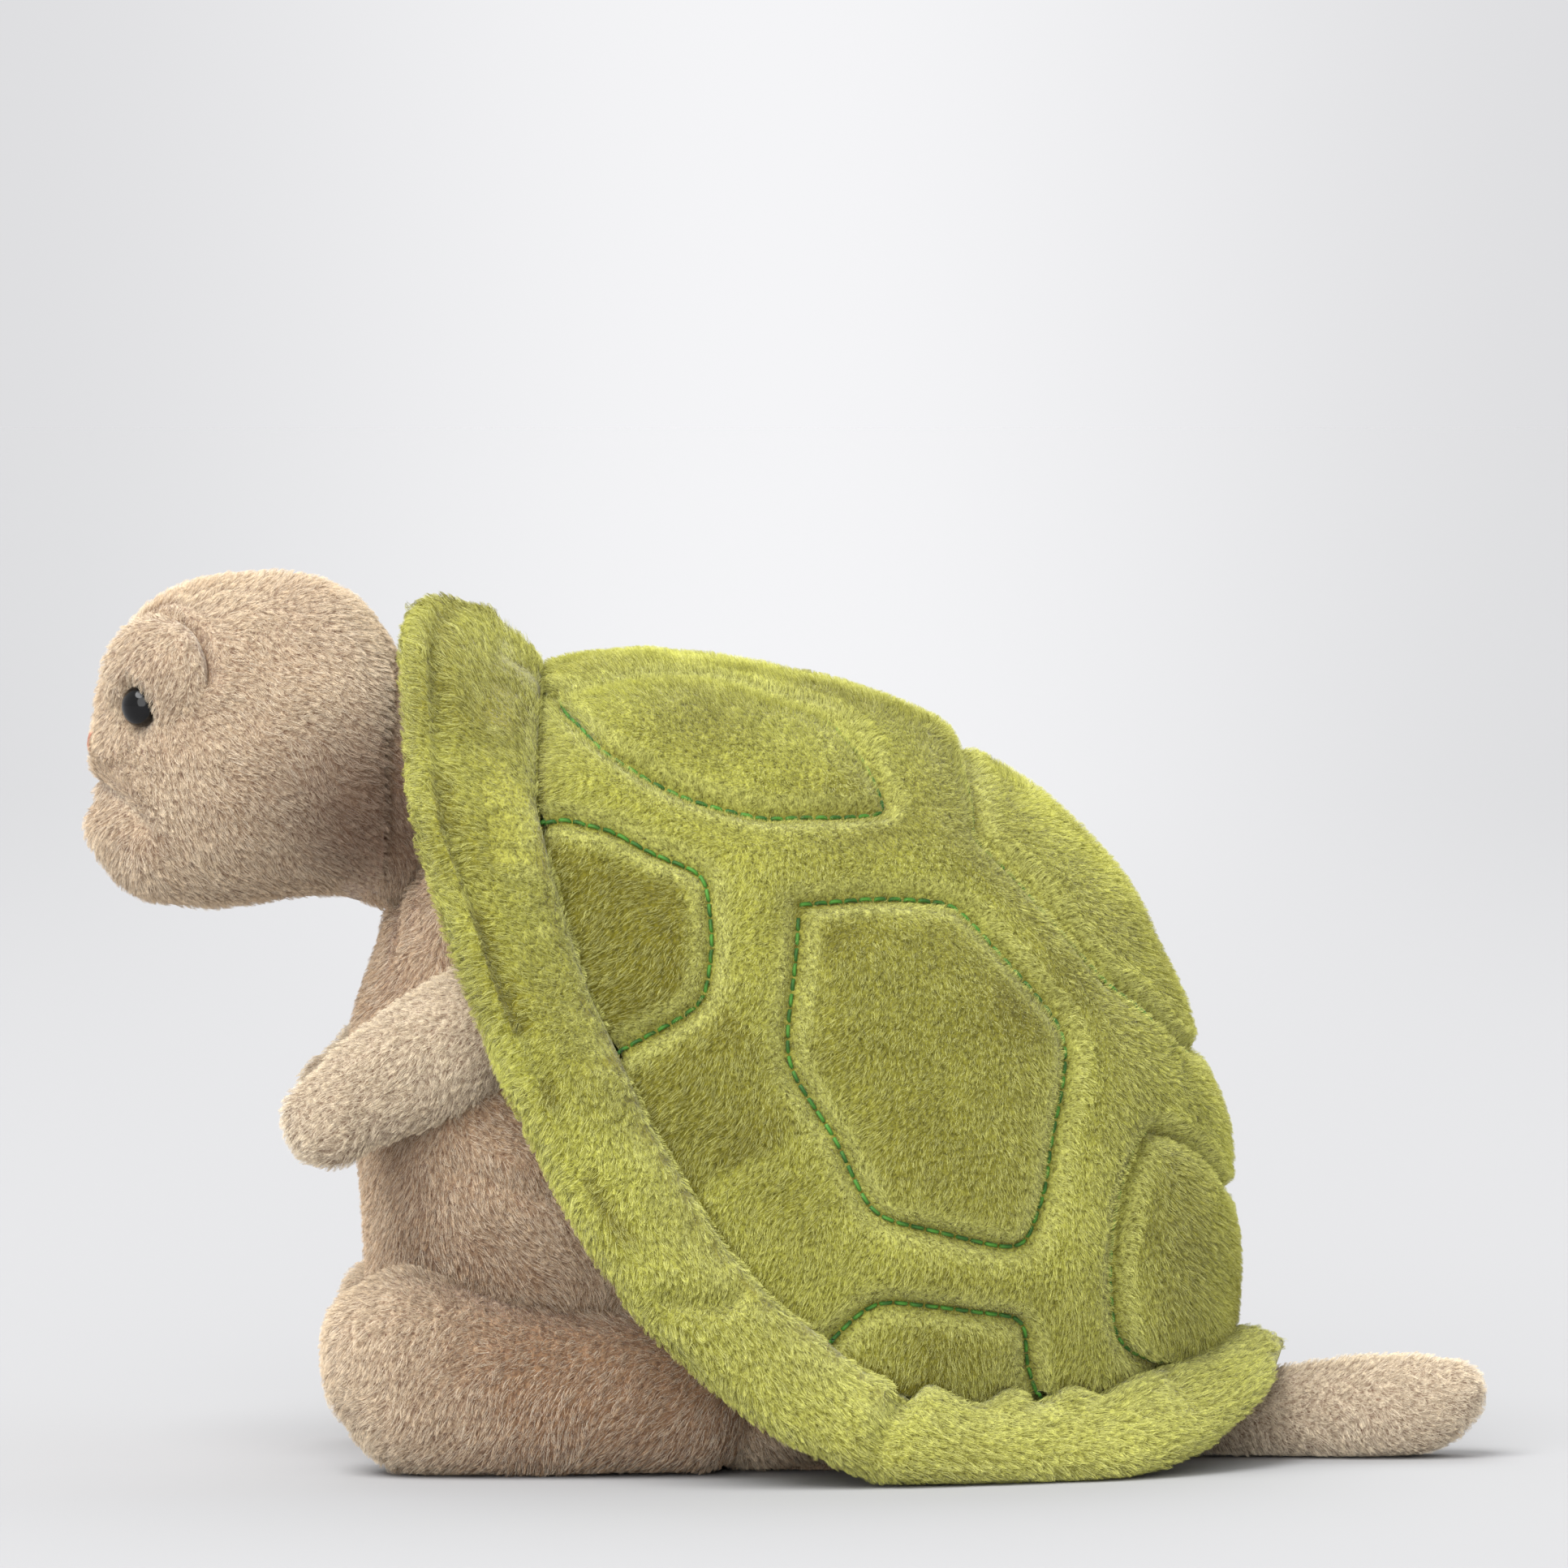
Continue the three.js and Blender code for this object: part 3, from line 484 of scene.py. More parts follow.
@dataclass(frozen=True)
class Pile:
    """How the fibres of a plush stand on a piece."""

    length_mm: float = 3.5
    rise: float = 0.5
    lean: float = 0.66
    stray: float = 0.14
    swirl: float = 0.5
    tufts_per_cm2: float = 40.0
    fibres_per_tuft: int = 12
    fibre_mm: float = 0.16
    clump: float = 0.72

    def comb(self, piece: Object, flow: np.ndarray, seed: float) -> None:
        """Sets which way the fibres lean, as the direction of each face's own map.

        Args:
            piece: Mesh object.
            flow: Way that the fibres lean at each vertex.
            seed: Offset into the small swirls that handling leaves.
        """
        points, corners = points_of(piece), corners_of(piece)
        turned = np.stack([lumps(points, SWIRL_SIZE, seed + k) for k in (0.3, 5.3, 9.3)], 1)
        flow = unit(flow) + self.swirl * 2.0 * turned
        sizes = noted(piece.data.polygons, "loop_total", 1, int)[:, 0]
        normal = noted(piece.data.polygons, "normal", 3, float)
        owner = np.repeat(np.arange(len(sizes)), sizes)
        mean = np.zeros((len(sizes), 3))
        np.add.at(mean, owner, flow[corners])
        mean -= normal * np.sum(mean * normal, 1, keepdims=True)
        along = -unit(mean)
        aside = np.cross(along, normal)
        spots = points[corners] / 100
        chart = piece.data.uv_layers.new(name="pile_direction")
        both = np.stack([np.sum(spots * aside[owner], 1), np.sum(spots * along[owner], 1)], 1)
        chart.data.foreach_set("uv", both.ravel())

    def grow(
        self, piece: Object, seed: int, cover: np.ndarray, reach: np.ndarray, flow: np.ndarray
    ) -> None:
        """Grows the fibres on a piece, whose second material is the fibre's.

        Args:
            piece: Mesh object, final in shape.
            seed: Number that fixes where the fibres stand.
            cover: Share of full density at each vertex.
            reach: Share of full length at each vertex.
            flow: Way that the fibres lean at each vertex.
        """
        self.comb(piece, flow, float(seed))
        for name, share in (("pile_cover", cover), ("pile_reach", reach)):
            group = piece.vertex_groups.new(name=name)
            levels = np.clip(np.round(share * LEVELS), 0, LEVELS).astype(int)
            for level in np.unique(levels):
                chosen = np.nonzero(levels == level)[0].tolist()
                group.add(chosen, float(level) / LEVELS, "REPLACE")
        modifier = piece.modifiers.new("pile", "PARTICLE_SYSTEM")
        system = modifier.particle_system
        system.seed = seed
        system.vertex_group_density = "pile_cover"
        system.vertex_group_length = "pile_reach"
        tufts = covered_cm2(piece, cover) * self.tufts_per_cm2
        unit_length = self.length_mm * MM / 4
        looks = {
            "type": "HAIR",
            "count": max(1, int(tufts * (1.0))),
            "hair_step": 3,
            "render_step": 3,
            "display_step": 2,
            "use_advanced_hair": True,
            "emit_from": "FACE",
            "use_emit_random": True,
            "use_even_distribution": True,
            "distribution": "RAND",
            "normal_factor": self.rise * unit_length,
            "tangent_factor": self.lean * unit_length,
            "factor_random": self.stray * unit_length,
            "child_type": "INTERPOLATED",
            "child_percent": 1,
            "rendered_child_count": self.fibres_per_tuft,
            "clump_factor": self.clump,
            "clump_shape": 0.2,
            "roughness_1": 0.2 * MM,
            "roughness_1_size": 4 * MM,
            "roughness_2": 0.3 * MM,
            "roughness_2_size": 2 * MM,
            "roughness_endpoint": 0.35 * MM,
            "child_length": 1.0,
            "child_length_threshold": 0.0,
            "root_radius": 1.0,
            "tip_radius": 0.25,
            "radius_scale": self.fibre_mm * MM / 2,
            "material": 2,
        }
        for name, value in looks.items():
            setattr(system.settings, name, value)


# Shapes


def smooth_at(rows: Rows, column: int, share: np.ndarray) -> np.ndarray:
    """Reads a table's column on a smooth curve through its rows.

    Args:
        rows: The table.
        column: Which column to read.
        share: Places along the table, from 0 to 1.

    Returns:
        The values at those places.
    """
    values = np.asarray([row[column] for row in rows], float)
    last = len(values) - 1
    place = np.clip(share, 0, 1) * last
    i = np.minimum(np.floor(place).astype(int), last - 1)
    t = place - i
    before, here, there, after = (values[np.clip(i + k, 0, last)] for k in (-1, 0, 1, 2))
    rise, next_rise, step = (there - before) / 2, (after - here) / 2, there - here
    bend, twist = 3 * step - 2 * rise - next_rise, rise + next_rise - 2 * step
    return here + t * (rise + t * (bend + t * twist))


def rounded(angle: np.ndarray, squareness: float) -> tuple[np.ndarray, np.ndarray]:
    """Points on a rounded square outline, where 2 is an ellipse and more is squarer.

    Args:
        angle: Angles in radians.
        squareness: Power of the outline.

    Returns:
        How far across and how far up.
    """
    power = 2 / squareness
    across, up = np.cos(angle), np.sin(angle)
    return np.sign(across) * np.abs(across) ** power, np.sign(up) * np.abs(up) ** power


def grid_faces(rows: int, columns: int, rows_close: bool = False) -> list[tuple[int, ...]]:
    """Faces of a grid of points whose rows are closed rings.

    Args:
        rows: Number of rings.
        columns: Number of points in a ring.
        rows_close: Whether the last ring joins the first; otherwise both ends are closed.

    Returns:
        The faces as corners.
    """
    faces: list[tuple[int, ...]] = []
    for i in range(rows if rows_close else rows - 1):
        here, there = i * columns, ((i + 1) % rows) * columns
        for j in range(columns):
            k = (j + 1) % columns
            faces.append((here + j, here + k, there + k, there + j))
    if not rows_close:
        middle = rows * columns
        for j in range(columns):
            k = (j + 1) % columns
            faces.append((k, j, middle))
            faces.append(((rows - 1) * columns + j, (rows - 1) * columns + k, middle + 1))
    return faces


def lofted(name: str, rings: np.ndarray, rows_close: bool = False) -> Object:
    """Closed skin over a row of rings.

    Args:
        name: Name of the object.
        rings: Points in millimetres, as rings by points by three.
        rows_close: Whether the last ring joins the first.

    Returns:
        The new object.
    """
    points = rings.reshape(-1, 3)
    if not rows_close:
        points = np.vstack([points, rings[0].mean(0), rings[-1].mean(0)])
    return mesh_object(name, points, grid_faces(rings.shape[0], rings.shape[1], rows_close))


def mesh_object(name: str, points: np.ndarray, faces: Iterable[Sequence[int]]) -> Object:
    """Makes a mesh object with its faces turned out.

    Args:
        name: Name of the object.
        points: Points in millimetres.
        faces: Corners of each face.

    Returns:
        The object, linked to the scene.
    """
    mesh = bpy.data.meshes.new(name)
    mesh.from_pydata((np.asarray(points, float) * MM).tolist(), [], list(faces))
    mesh.update()
    piece = bpy.data.objects.new(name, mesh)
    bpy.context.scene.collection.objects.link(piece)
    weld(piece)
    return piece


@contextmanager
def opened(piece: Object) -> Iterator[bmesh.types.BMesh]:
    """Opens a piece's mesh for changes and puts them back into it.

    Args:
        piece: Mesh object.

    Returns:
        The open mesh, as a context.
    """
    shape = bmesh.new()
    shape.from_mesh(piece.data)
    yield shape
    shape.to_mesh(piece.data)
    shape.free()


def weld(piece: Object) -> None:
    """Joins points that meet and turns all the faces out.

    Args:
        piece: Mesh object.
    """
    with opened(piece) as shape:
        bmesh.ops.remove_doubles(shape, verts=shape.verts, dist=WELD_GAP * MM)
        bmesh.ops.recalc_face_normals(shape, faces=shape.faces)
    piece.data.shade_smooth()


def noted(items: bpy.types.bpy_prop_collection, name: str, width: int, kind: type) -> np.ndarray:
    """Reads what each item of a mesh says.

    Args:
        items: Vertices, corners or faces.
        name: What to read.
        width: How many numbers each item has.
        kind: Kind of the numbers.

    Returns:
        A row of numbers for each item.
    """
    flat = np.zeros(len(items) * width, kind)
    items.foreach_get(name, flat)
    return flat.reshape(-1, width)


def points_of(piece: Object) -> np.ndarray:
    """Vertices of a piece in millimetres."""
    return noted(piece.data.vertices, "co", 3, float) / MM


def normals_of(piece: Object) -> np.ndarray:
    """Outward direction at each vertex of a piece."""
    return noted(piece.data.vertices, "normal", 3, float)


def corners_of(piece: Object) -> np.ndarray:
    """Number of the vertex at each corner of a piece's faces."""
    return noted(piece.data.loops, "vertex_index", 1, int)[:, 0]


def set_points(piece: Object, points: np.ndarray) -> None:
    """Moves a piece's vertices to points in millimetres."""
    piece.data.vertices.foreach_set("co", (points * MM).ravel())
    piece.data.update()


def pushed(piece: Object, height: np.ndarray) -> None:
    """Moves a skin out along its own directions, and keeps it off the floor.

    Args:
        piece: Mesh object.
        height: How far out each vertex goes.
    """
    points = points_of(piece) + normals_of(piece) * height[:, None]
    points[:, 2] = np.maximum(points[:, 2], FLOOR_GAP)
    set_points(piece, points)


def bell(distance: np.ndarray, width: float, peak: float = 0.0) -> np.ndarray:
    """Bell curve of a distance: 1 at the peak, and soft to 0 on both sides."""
    return np.exp(-(((distance - peak) / width) ** 2))


def unit(ways: np.ndarray) -> np.ndarray:
    """The same ways with a length of 1."""
    return ways / np.maximum(np.linalg.norm(ways, axis=-1, keepdims=True), EPSILON)


def settle(piece: Object) -> None:
    """Makes a piece's modifiers part of its mesh.

    Args:
        piece: Mesh object.
    """
    graph = bpy.context.evaluated_depsgraph_get()
    mesh = bpy.data.meshes.new_from_object(piece.evaluated_get(graph))
    old = piece.data
    piece.modifiers.clear()
    piece.data = mesh
    bpy.data.meshes.remove(old)
    piece.data.shade_smooth()


def remeshed(piece: Object, voxel_mm: float, rounds: int) -> None:
    """Gives a piece an even mesh and softens it.

    Args:
        piece: Closed mesh object, which may be several overlapping shells.
        voxel_mm: Spacing of the new mesh.
        rounds: How often each vertex moves to the middle of its neighbours.
    """
    modifier = piece.modifiers.new("even", "REMESH")
    modifier.mode = "VOXEL"
    modifier.voxel_size = voxel_mm * MM
    modifier = piece.modifiers.new("soften", "SMOOTH")
    modifier.factor = 0.5
    modifier.iterations = rounds
    settle(piece)


def carved(piece: Object, others: Iterable[Object]) -> None:
    """Cuts other solids out of a piece.

    Args:
        piece: Closed mesh object.
        others: Closed mesh objects.
    """
    for other in others:
        modifier = piece.modifiers.new("room", "BOOLEAN")
        modifier.operation = "DIFFERENCE"
        modifier.solver = "MANIFOLD"
        modifier.object = other
    settle(piece)


def joined(piece: Object, other: Object) -> None:
    """Adds another object's mesh to a piece and drops the other object.

    Args:
        piece: Mesh object.
        other: Mesh object.
    """
    with opened(piece) as shape:
        shape.from_mesh(other.data)
    bpy.data.objects.remove(other)


def largest_body(piece: Object) -> None:
    """Drops the crumbs that a cut leaves beside a piece's main body.

    Args:
        piece: Mesh object.
    """
    with opened(piece) as shape:
        unseen = set(shape.verts)
        bodies: list[list[bmesh.types.BMVert]] = []
        while unseen:
            body = [unseen.pop()]
            for vertex in body:
                ends = {edge.other_vert(vertex) for edge in vertex.link_edges} & unseen
                unseen -= ends
                body.extend(ends)
            bodies.append(body)
        bodies.sort(key=len)
        crumbs = [vertex for body in bodies[:-1] for vertex in body]
        bmesh.ops.delete(shape, geom=crumbs, context="VERTS")


def pressed(
    piece: Object, lines: Iterable[np.ndarray], depth: float, half_width: float
) -> np.ndarray:
    """Presses creases into a skin, each with a soft swell beside it.

    Args:
        piece: Mesh object.
        lines: Lines of points in millimetres, on the skin.
        depth: Depth of a crease.
        half_width: Half of its width.

    Returns:
        Distance of each vertex from the nearest line.
    """
    seams = np.vstack([resampled(line, LINE_STEP) for line in lines])
    away = distance_to(points_of(piece), seams)
    high, wide, far = BESIDE_CREASE
    beside = high * bell(away, wide * half_width, far * half_width)
    pushed(piece, depth * (beside - bell(away, half_width)))
    return away


def seen_line(piece: Object, line: Rows, side: float) -> np.ndarray:
    """Carries a line of the side view onto a skin.

    Args:
        piece: Mesh object.
        line: Places along the length and up the height.
        side: Which side the line is seen from, as the sign of X.

    Returns:
        Points in millimetres on the skin.
    """
    surface = surface_of(piece)
    places = resampled(np.asarray([(0.0, y, z) for y, z in line], float), 1.0)
    starts = [Vector((side * FAR_OUT, y, z)) for _, y, z in places]
    spots = [surface.ray_cast(start, Vector((-side, 0, 0)))[0] for start in starts]
    return np.asarray([spot for spot in spots if spot is not None], float)


def node_copy(node: str, name: str) -> Object:
    """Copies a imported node's mesh as the start of a soft piece.

    Args:
        node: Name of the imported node.
        name: Name of the new object.

    Returns:
        The new object, welded.
    """
    piece = bpy.data.objects.new(name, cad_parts[node].data.copy())
    piece.data.materials.clear()
    bpy.context.scene.collection.objects.link(piece)
    weld(piece)
    return piece


def lumps(points: np.ndarray, size_mm: float, seed: float) -> np.ndarray:
    """Smooth chance bumps of a size at points in millimetres, from about -1 to 1."""
    scaled = points / size_mm + seed
    return np.asarray([noise.noise(Vector(point)) for point in scaled])


def stuffed(piece: Object, inset_mm: float, lump_mm: float, seed: float) -> None:
    """Draws a skin in by the depth of its pile and gives it the unevenness of hand stuffing.

    Args:
        piece: Mesh object.
        inset_mm: How far the skin lies inside the pile's outline.
        lump_mm: Height of the bumps.
        seed: Offset into the bumps.
    """
    points = points_of(piece)
    bumps = sum(high * lumps(points, size, seed + shift) for size, high, shift in BUMPS)
    pushed(piece, np.minimum(lump_mm * bumps, inset_mm * 0.8) - inset_mm)


def swollen(piece: Object, swells: Rows) -> None:
    """Pushes a skin out or in where the stuffing is fuller or slacker in the side view.

    Args:
        piece: Mesh object.
        swells: Place along the length and up the height, radius and push of each.
    """
    points = points_of(piece)
    push = np.zeros(len(points))
    for y, z, radius, out in swells:
        push += out * bell(np.hypot(points[:, 1] - y, points[:, 2] - z), radius)
    pushed(piece, push)


def parted(fall: Point, outward: np.ndarray, away: np.ndarray, width: float) -> np.ndarray:
    """Way that a pile lies which is parted at a line.

    Args:
        fall: Way that it lies far from the line.
        outward: Ways from the line to each vertex.
        away: Distance of each vertex from the line.
        width: How far the parting reaches.

    Returns:
        The way at each vertex.
    """
    beside = bell(away, width)[:, None]
    leaning = PARTED_LEAN * beside * outward / np.maximum(away, PARTED_NEAR)[:, None]
    return np.asarray(fall) * (1 - beside) + leaning


def covered_cm2(piece: Object, cover: np.ndarray) -> float:
    """Area that a piece's pile covers, in square centimetres."""
    faces = piece.data.polygons
    return 1e4 * sum(face.area * float(cover[list(face.vertices)].mean()) for face in faces)


def mark(piece: Object, lay: np.ndarray) -> None:
    """Notes on a mesh how its pile lies and where painted shade and light go, for the cloth's
    colour.

    Args:
        piece: Mesh object.
        lay: Share of the darker tone, for standing pile and painted shade, and of the paler tone,
            for brushed-flat pile and painted light, at each vertex.
    """
    marks = np.clip(lay[corners_of(piece)], 0, 1)
    colours = np.column_stack([marks, np.zeros(len(marks)), np.ones(len(marks))])
    layer = piece.data.color_attributes.new(name="lay", type="BYTE_COLOR", domain="CORNER")
    layer.data.foreach_set("color", colours.ravel())


def nearest_of(points: np.ndarray, targets: np.ndarray) -> np.ndarray:
    """The nearest of the targets to each point.

    Args:
        points: Points in millimetres.
        targets: Points in millimetres.

    Returns:
        The number of the nearest target for each point.
    """
    tree = KDTree(len(targets))
    for i, target in enumerate(targets):
        tree.insert(Vector(target), i)
    tree.balance()
    return np.asarray([tree.find(Vector(point))[1] for point in points])


def distance_to(points: np.ndarray, targets: np.ndarray) -> np.ndarray:
    """Distance from each point to the nearest of the targets."""
    return np.linalg.norm(points - targets[nearest_of(points, targets)], axis=1)


def inside(spots: np.ndarray, outline: np.ndarray) -> np.ndarray:
    """Tells which flat points lie inside an outline.

    Args:
        spots: Points of two numbers.
        outline: Corners of the closed outline.

    Returns:
        True for each point inside.
    """
    odd = np.zeros(len(spots), bool)
    x, y = spots[:, 0], spots[:, 1]
    for (x0, y0), (x1, y1) in zip(outline, np.roll(outline, -1, axis=0)):
        spans = (y0 > y) != (y1 > y)
        if y0 != y1:
            odd ^= spans & (x < (x1 - x0) * (y - y0) / (y1 - y0) + x0)
    return odd


def resampled(route: np.ndarray, step_mm: float) -> np.ndarray:
    """Even points along a route.

    Args:
        route: Points in millimetres.
        step_mm: About how far apart the new points are.

    Returns:
        The new points.
    """
    legs = np.linalg.norm(np.diff(route, axis=0), axis=1)
    along = np.concatenate([[0.0], np.cumsum(legs)])
    count = max(2, int(round(along[-1] / step_mm)) + 1)
    places = np.linspace(0, along[-1], count)
    return np.stack([np.interp(places, along, route[:, k]) for k in range(3)], 1)


def rounded_corners(line: np.ndarray, per_leg: int) -> np.ndarray:
    """Even steps along a line whose corners are eased.

    Args:
        line: Corners of the line, as rows of numbers.
        per_leg: Steps between two corners.

    Returns:
        The steps.
    """
    index = np.arange(len(line))
    places = np.linspace(0, len(line) - 1, per_leg * (len(line) - 1) + 1)
    steps = np.stack([np.interp(places, index, line[:, k]) for k in range(line.shape[1])], 1)
    for _ in range(per_leg):
        steps[1:-1] = (steps[:-2] + 2 * steps[1:-1] + steps[2:]) / 4
    return steps


def heights_over(surface: BVHTree, points: np.ndarray) -> np.ndarray:
    """Heights of points over a surface.

    Args:
        surface: Search tree over the surface.
        points: Points in millimetres.

    Returns:
        The heights, negative behind the surface and SEARCH where it is far away.
    """
    heights = np.full(len(points), SEARCH)
    for i, point in enumerate(points):
        spot, normal, _, _ = surface.find_nearest(Vector(point), SEARCH)
        if spot is not None:
            heights[i] = (Vector(point) - spot).dot(normal)
    return heights


def surface_of(piece: Object) -> BVHTree:
    """Search tree over a piece's faces, in millimetres."""
    faces = [tuple(face.vertices) for face in piece.data.polygons]
    return BVHTree.FromPolygons(points_of(piece).tolist(), faces)


@dataclass
class StitchRow:
    """Running stitches that lie on a piece along a route."""

    stitch_mm: float = 3.6
    gap_mm: float = 0.2
    thread_mm: float = 1.0
    lift_mm: float = 0.75
    step_mm: float = 0.25
    # Where along a stitch its thread is drawn, how far its ends dip and how thin they are
    drawn_at: Sequence[float] = (0.0, 0.12, 0.35, 0.65, 0.88, 1.0)
    dip_mm: float = 0.75
    end_share: float = 0.55
    sides: int = 6

    def shape(
        self, routes: Iterable[np.ndarray], outward: Callable[[Vector], Vector]
    ) -> tuple[np.ndarray, list]:
        """Builds the thread of each stitch as a short arch with closed ends.

        Args:
            routes: Lines of points in millimetres, on the cloth.
            outward: Gives the cloth's outward direction at a point.

        Returns:
            Points and faces of all the stitches.
        """
        points: list[np.ndarray] = []
        faces: list[tuple[int, ...]] = []
        start = 0
        angles = np.arange(self.sides) * 2 * math.pi / self.sides
        turns = [(math.cos(a), math.sin(a)) for a in angles]
        for route in routes:
            fine = resampled(route, self.step_mm)
            per_stitch = int(self.stitch_mm / self.step_mm)
            pace = int((self.stitch_mm + self.gap_mm) / self.step_mm)
            for first in range(0, len(fine) - per_stitch, pace):
                rings = []
                path = fine[first : first + per_stitch + 1]
                for share in self.drawn_at:
                    k = min(int(share * per_stitch), per_stitch - 1)
                    spot, normal = Vector(path[k]), outward(Vector(path[k]))
                    along = Vector(path[k + 1] - path[k]).normalized()
                    side = along.cross(normal).normalized()
                    up = side.cross(along).normalized()
                    height = self.lift_mm - self.dip_mm * (2 * share - 1) ** 4
                    radius = self.thread_mm / 2 * (self.end_share if share in (0.0, 1.0) else 1.0)
                    middle = spot + normal * height
                    across, rise = side * radius, up * radius
                    rings.append([middle + across * x + rise * z for x, z in turns])
                block = np.asarray(rings, float)
                points.append(block.reshape(-1, 3))
                points.append(np.stack([block[0].mean(0), block[-1].mean(0)]))
                for face in grid_faces(len(rings), self.sides):
                    faces.append(tuple(start + c for c in face))
                start += len(rings) * self.sides + 2
        return np.vstack(points), faces


# Pieces


@dataclass
class PlushPiece:
    """A soft piece under its plush, with what the frame has to know about it."""

    skin: Object
    cloth: PlushCloth
    slot: Slot
    body: str
    nodes: tuple[str, ...]
    fill: float = 0.7
    # Size of the patches where the pile is ruffled up, and how much they show
    ruffle_size: float = 24.0
    ruffle: float = 0.55
    # Height over the floor below which the pile is pressed short
    pressed_below: float = 3.0

    def dress(
        self,
        pile: Pile,
        seed: int,
        flow: np.ndarray | Point,
        lay: np.ndarray,
        cover: float | np.ndarray = 1.0,
        reach: float | np.ndarray = 1.0,
    ) -> None:
        """Gives the piece its cloth and pile, and hides the imported parts that it stands for.

        Args:
            pile: How the fibres stand.
            seed: Number that fixes where they stand.
            flow: Way that they lean, one for all or one for each vertex.
            lay: Share of the darker tone, for standing pile and painted shade, and of the paler
                tone, for brushed-flat pile and painted light, at each vertex.
            cover: Share of full density, one for all or one for each vertex.
            reach: Share of full length, one for all or one for each vertex.
        """
        points = points_of(self.skin)
        count = len(points)
        pressed_flat = np.clip(points[:, 2] / self.pressed_below, 0.15, 1.0)
        ruffled = np.clip(0.3 + 0.9 * lumps(points, self.ruffle_size, seed + 0.7), 0, 1)
        mark(self.skin, lay + self.ruffle * np.stack([ruffled, np.zeros(count)], 1))
        self.skin.data.materials.clear()
        self.skin.data.materials.append(self.cloth.backing())
        self.skin.data.materials.append(self.cloth.fibre())
        ways = np.broadcast_to(np.asarray(flow, float), (count, 3))
        pile.grow(self.skin, seed, cover * np.ones(count), reach * pressed_flat, ways)
        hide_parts(*self.nodes)
        LOG.info("%s: %d vertices", self.skin.name, count)

    def ride(self) -> None:
        """Lets the piece move with its body."""
        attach(self.skin, self.body)


def finished(piece: Object, material: Material, slot: Slot, body: str) -> None:
    """Gives a piece without pile its material and body.

    Args:
        piece: Mesh object.
        material: Its finish.
        slot: Not used.
        body: The body that it moves with.
    """
    piece.data.materials.append(material)
    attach(piece, body)
    LOG.info("%s: %d vertices", piece.name, len(piece.data.vertices))


@dataclass
class ToySizes:
    """Overall sizes that the shell's shares refer to."""

    length: float = 345.4
    height: float = 218.6
    shell_half_width: float = 93.0

    def outline(self, rows: Rows, share: np.ndarray) -> np.ndarray:
        """Points on the shell's seam or hem, on the left side, in millimetres."""
        scale = (self.shell_half_width, self.length, self.height)
        return np.stack([scale[k] * smooth_at(rows, k, share) for k in range(3)], -1)

    def rise(self, seam: np.ndarray, share: np.ndarray) -> np.ndarray:
        """Ways from points on the seam up to the dome's ridge.

        Args:
            seam: Points in millimetres.
            share: Their places from the neck to the tail.

        Returns:
            The ways, as long as the dome is high there.
        """
        back = self.length * smooth_at(RIDGE, 0, share) - seam[..., 1]
        up = self.height * smooth_at(RIDGE, 1, share) - seam[..., 2]
        return np.stack([np.zeros_like(share), back, up], -1)


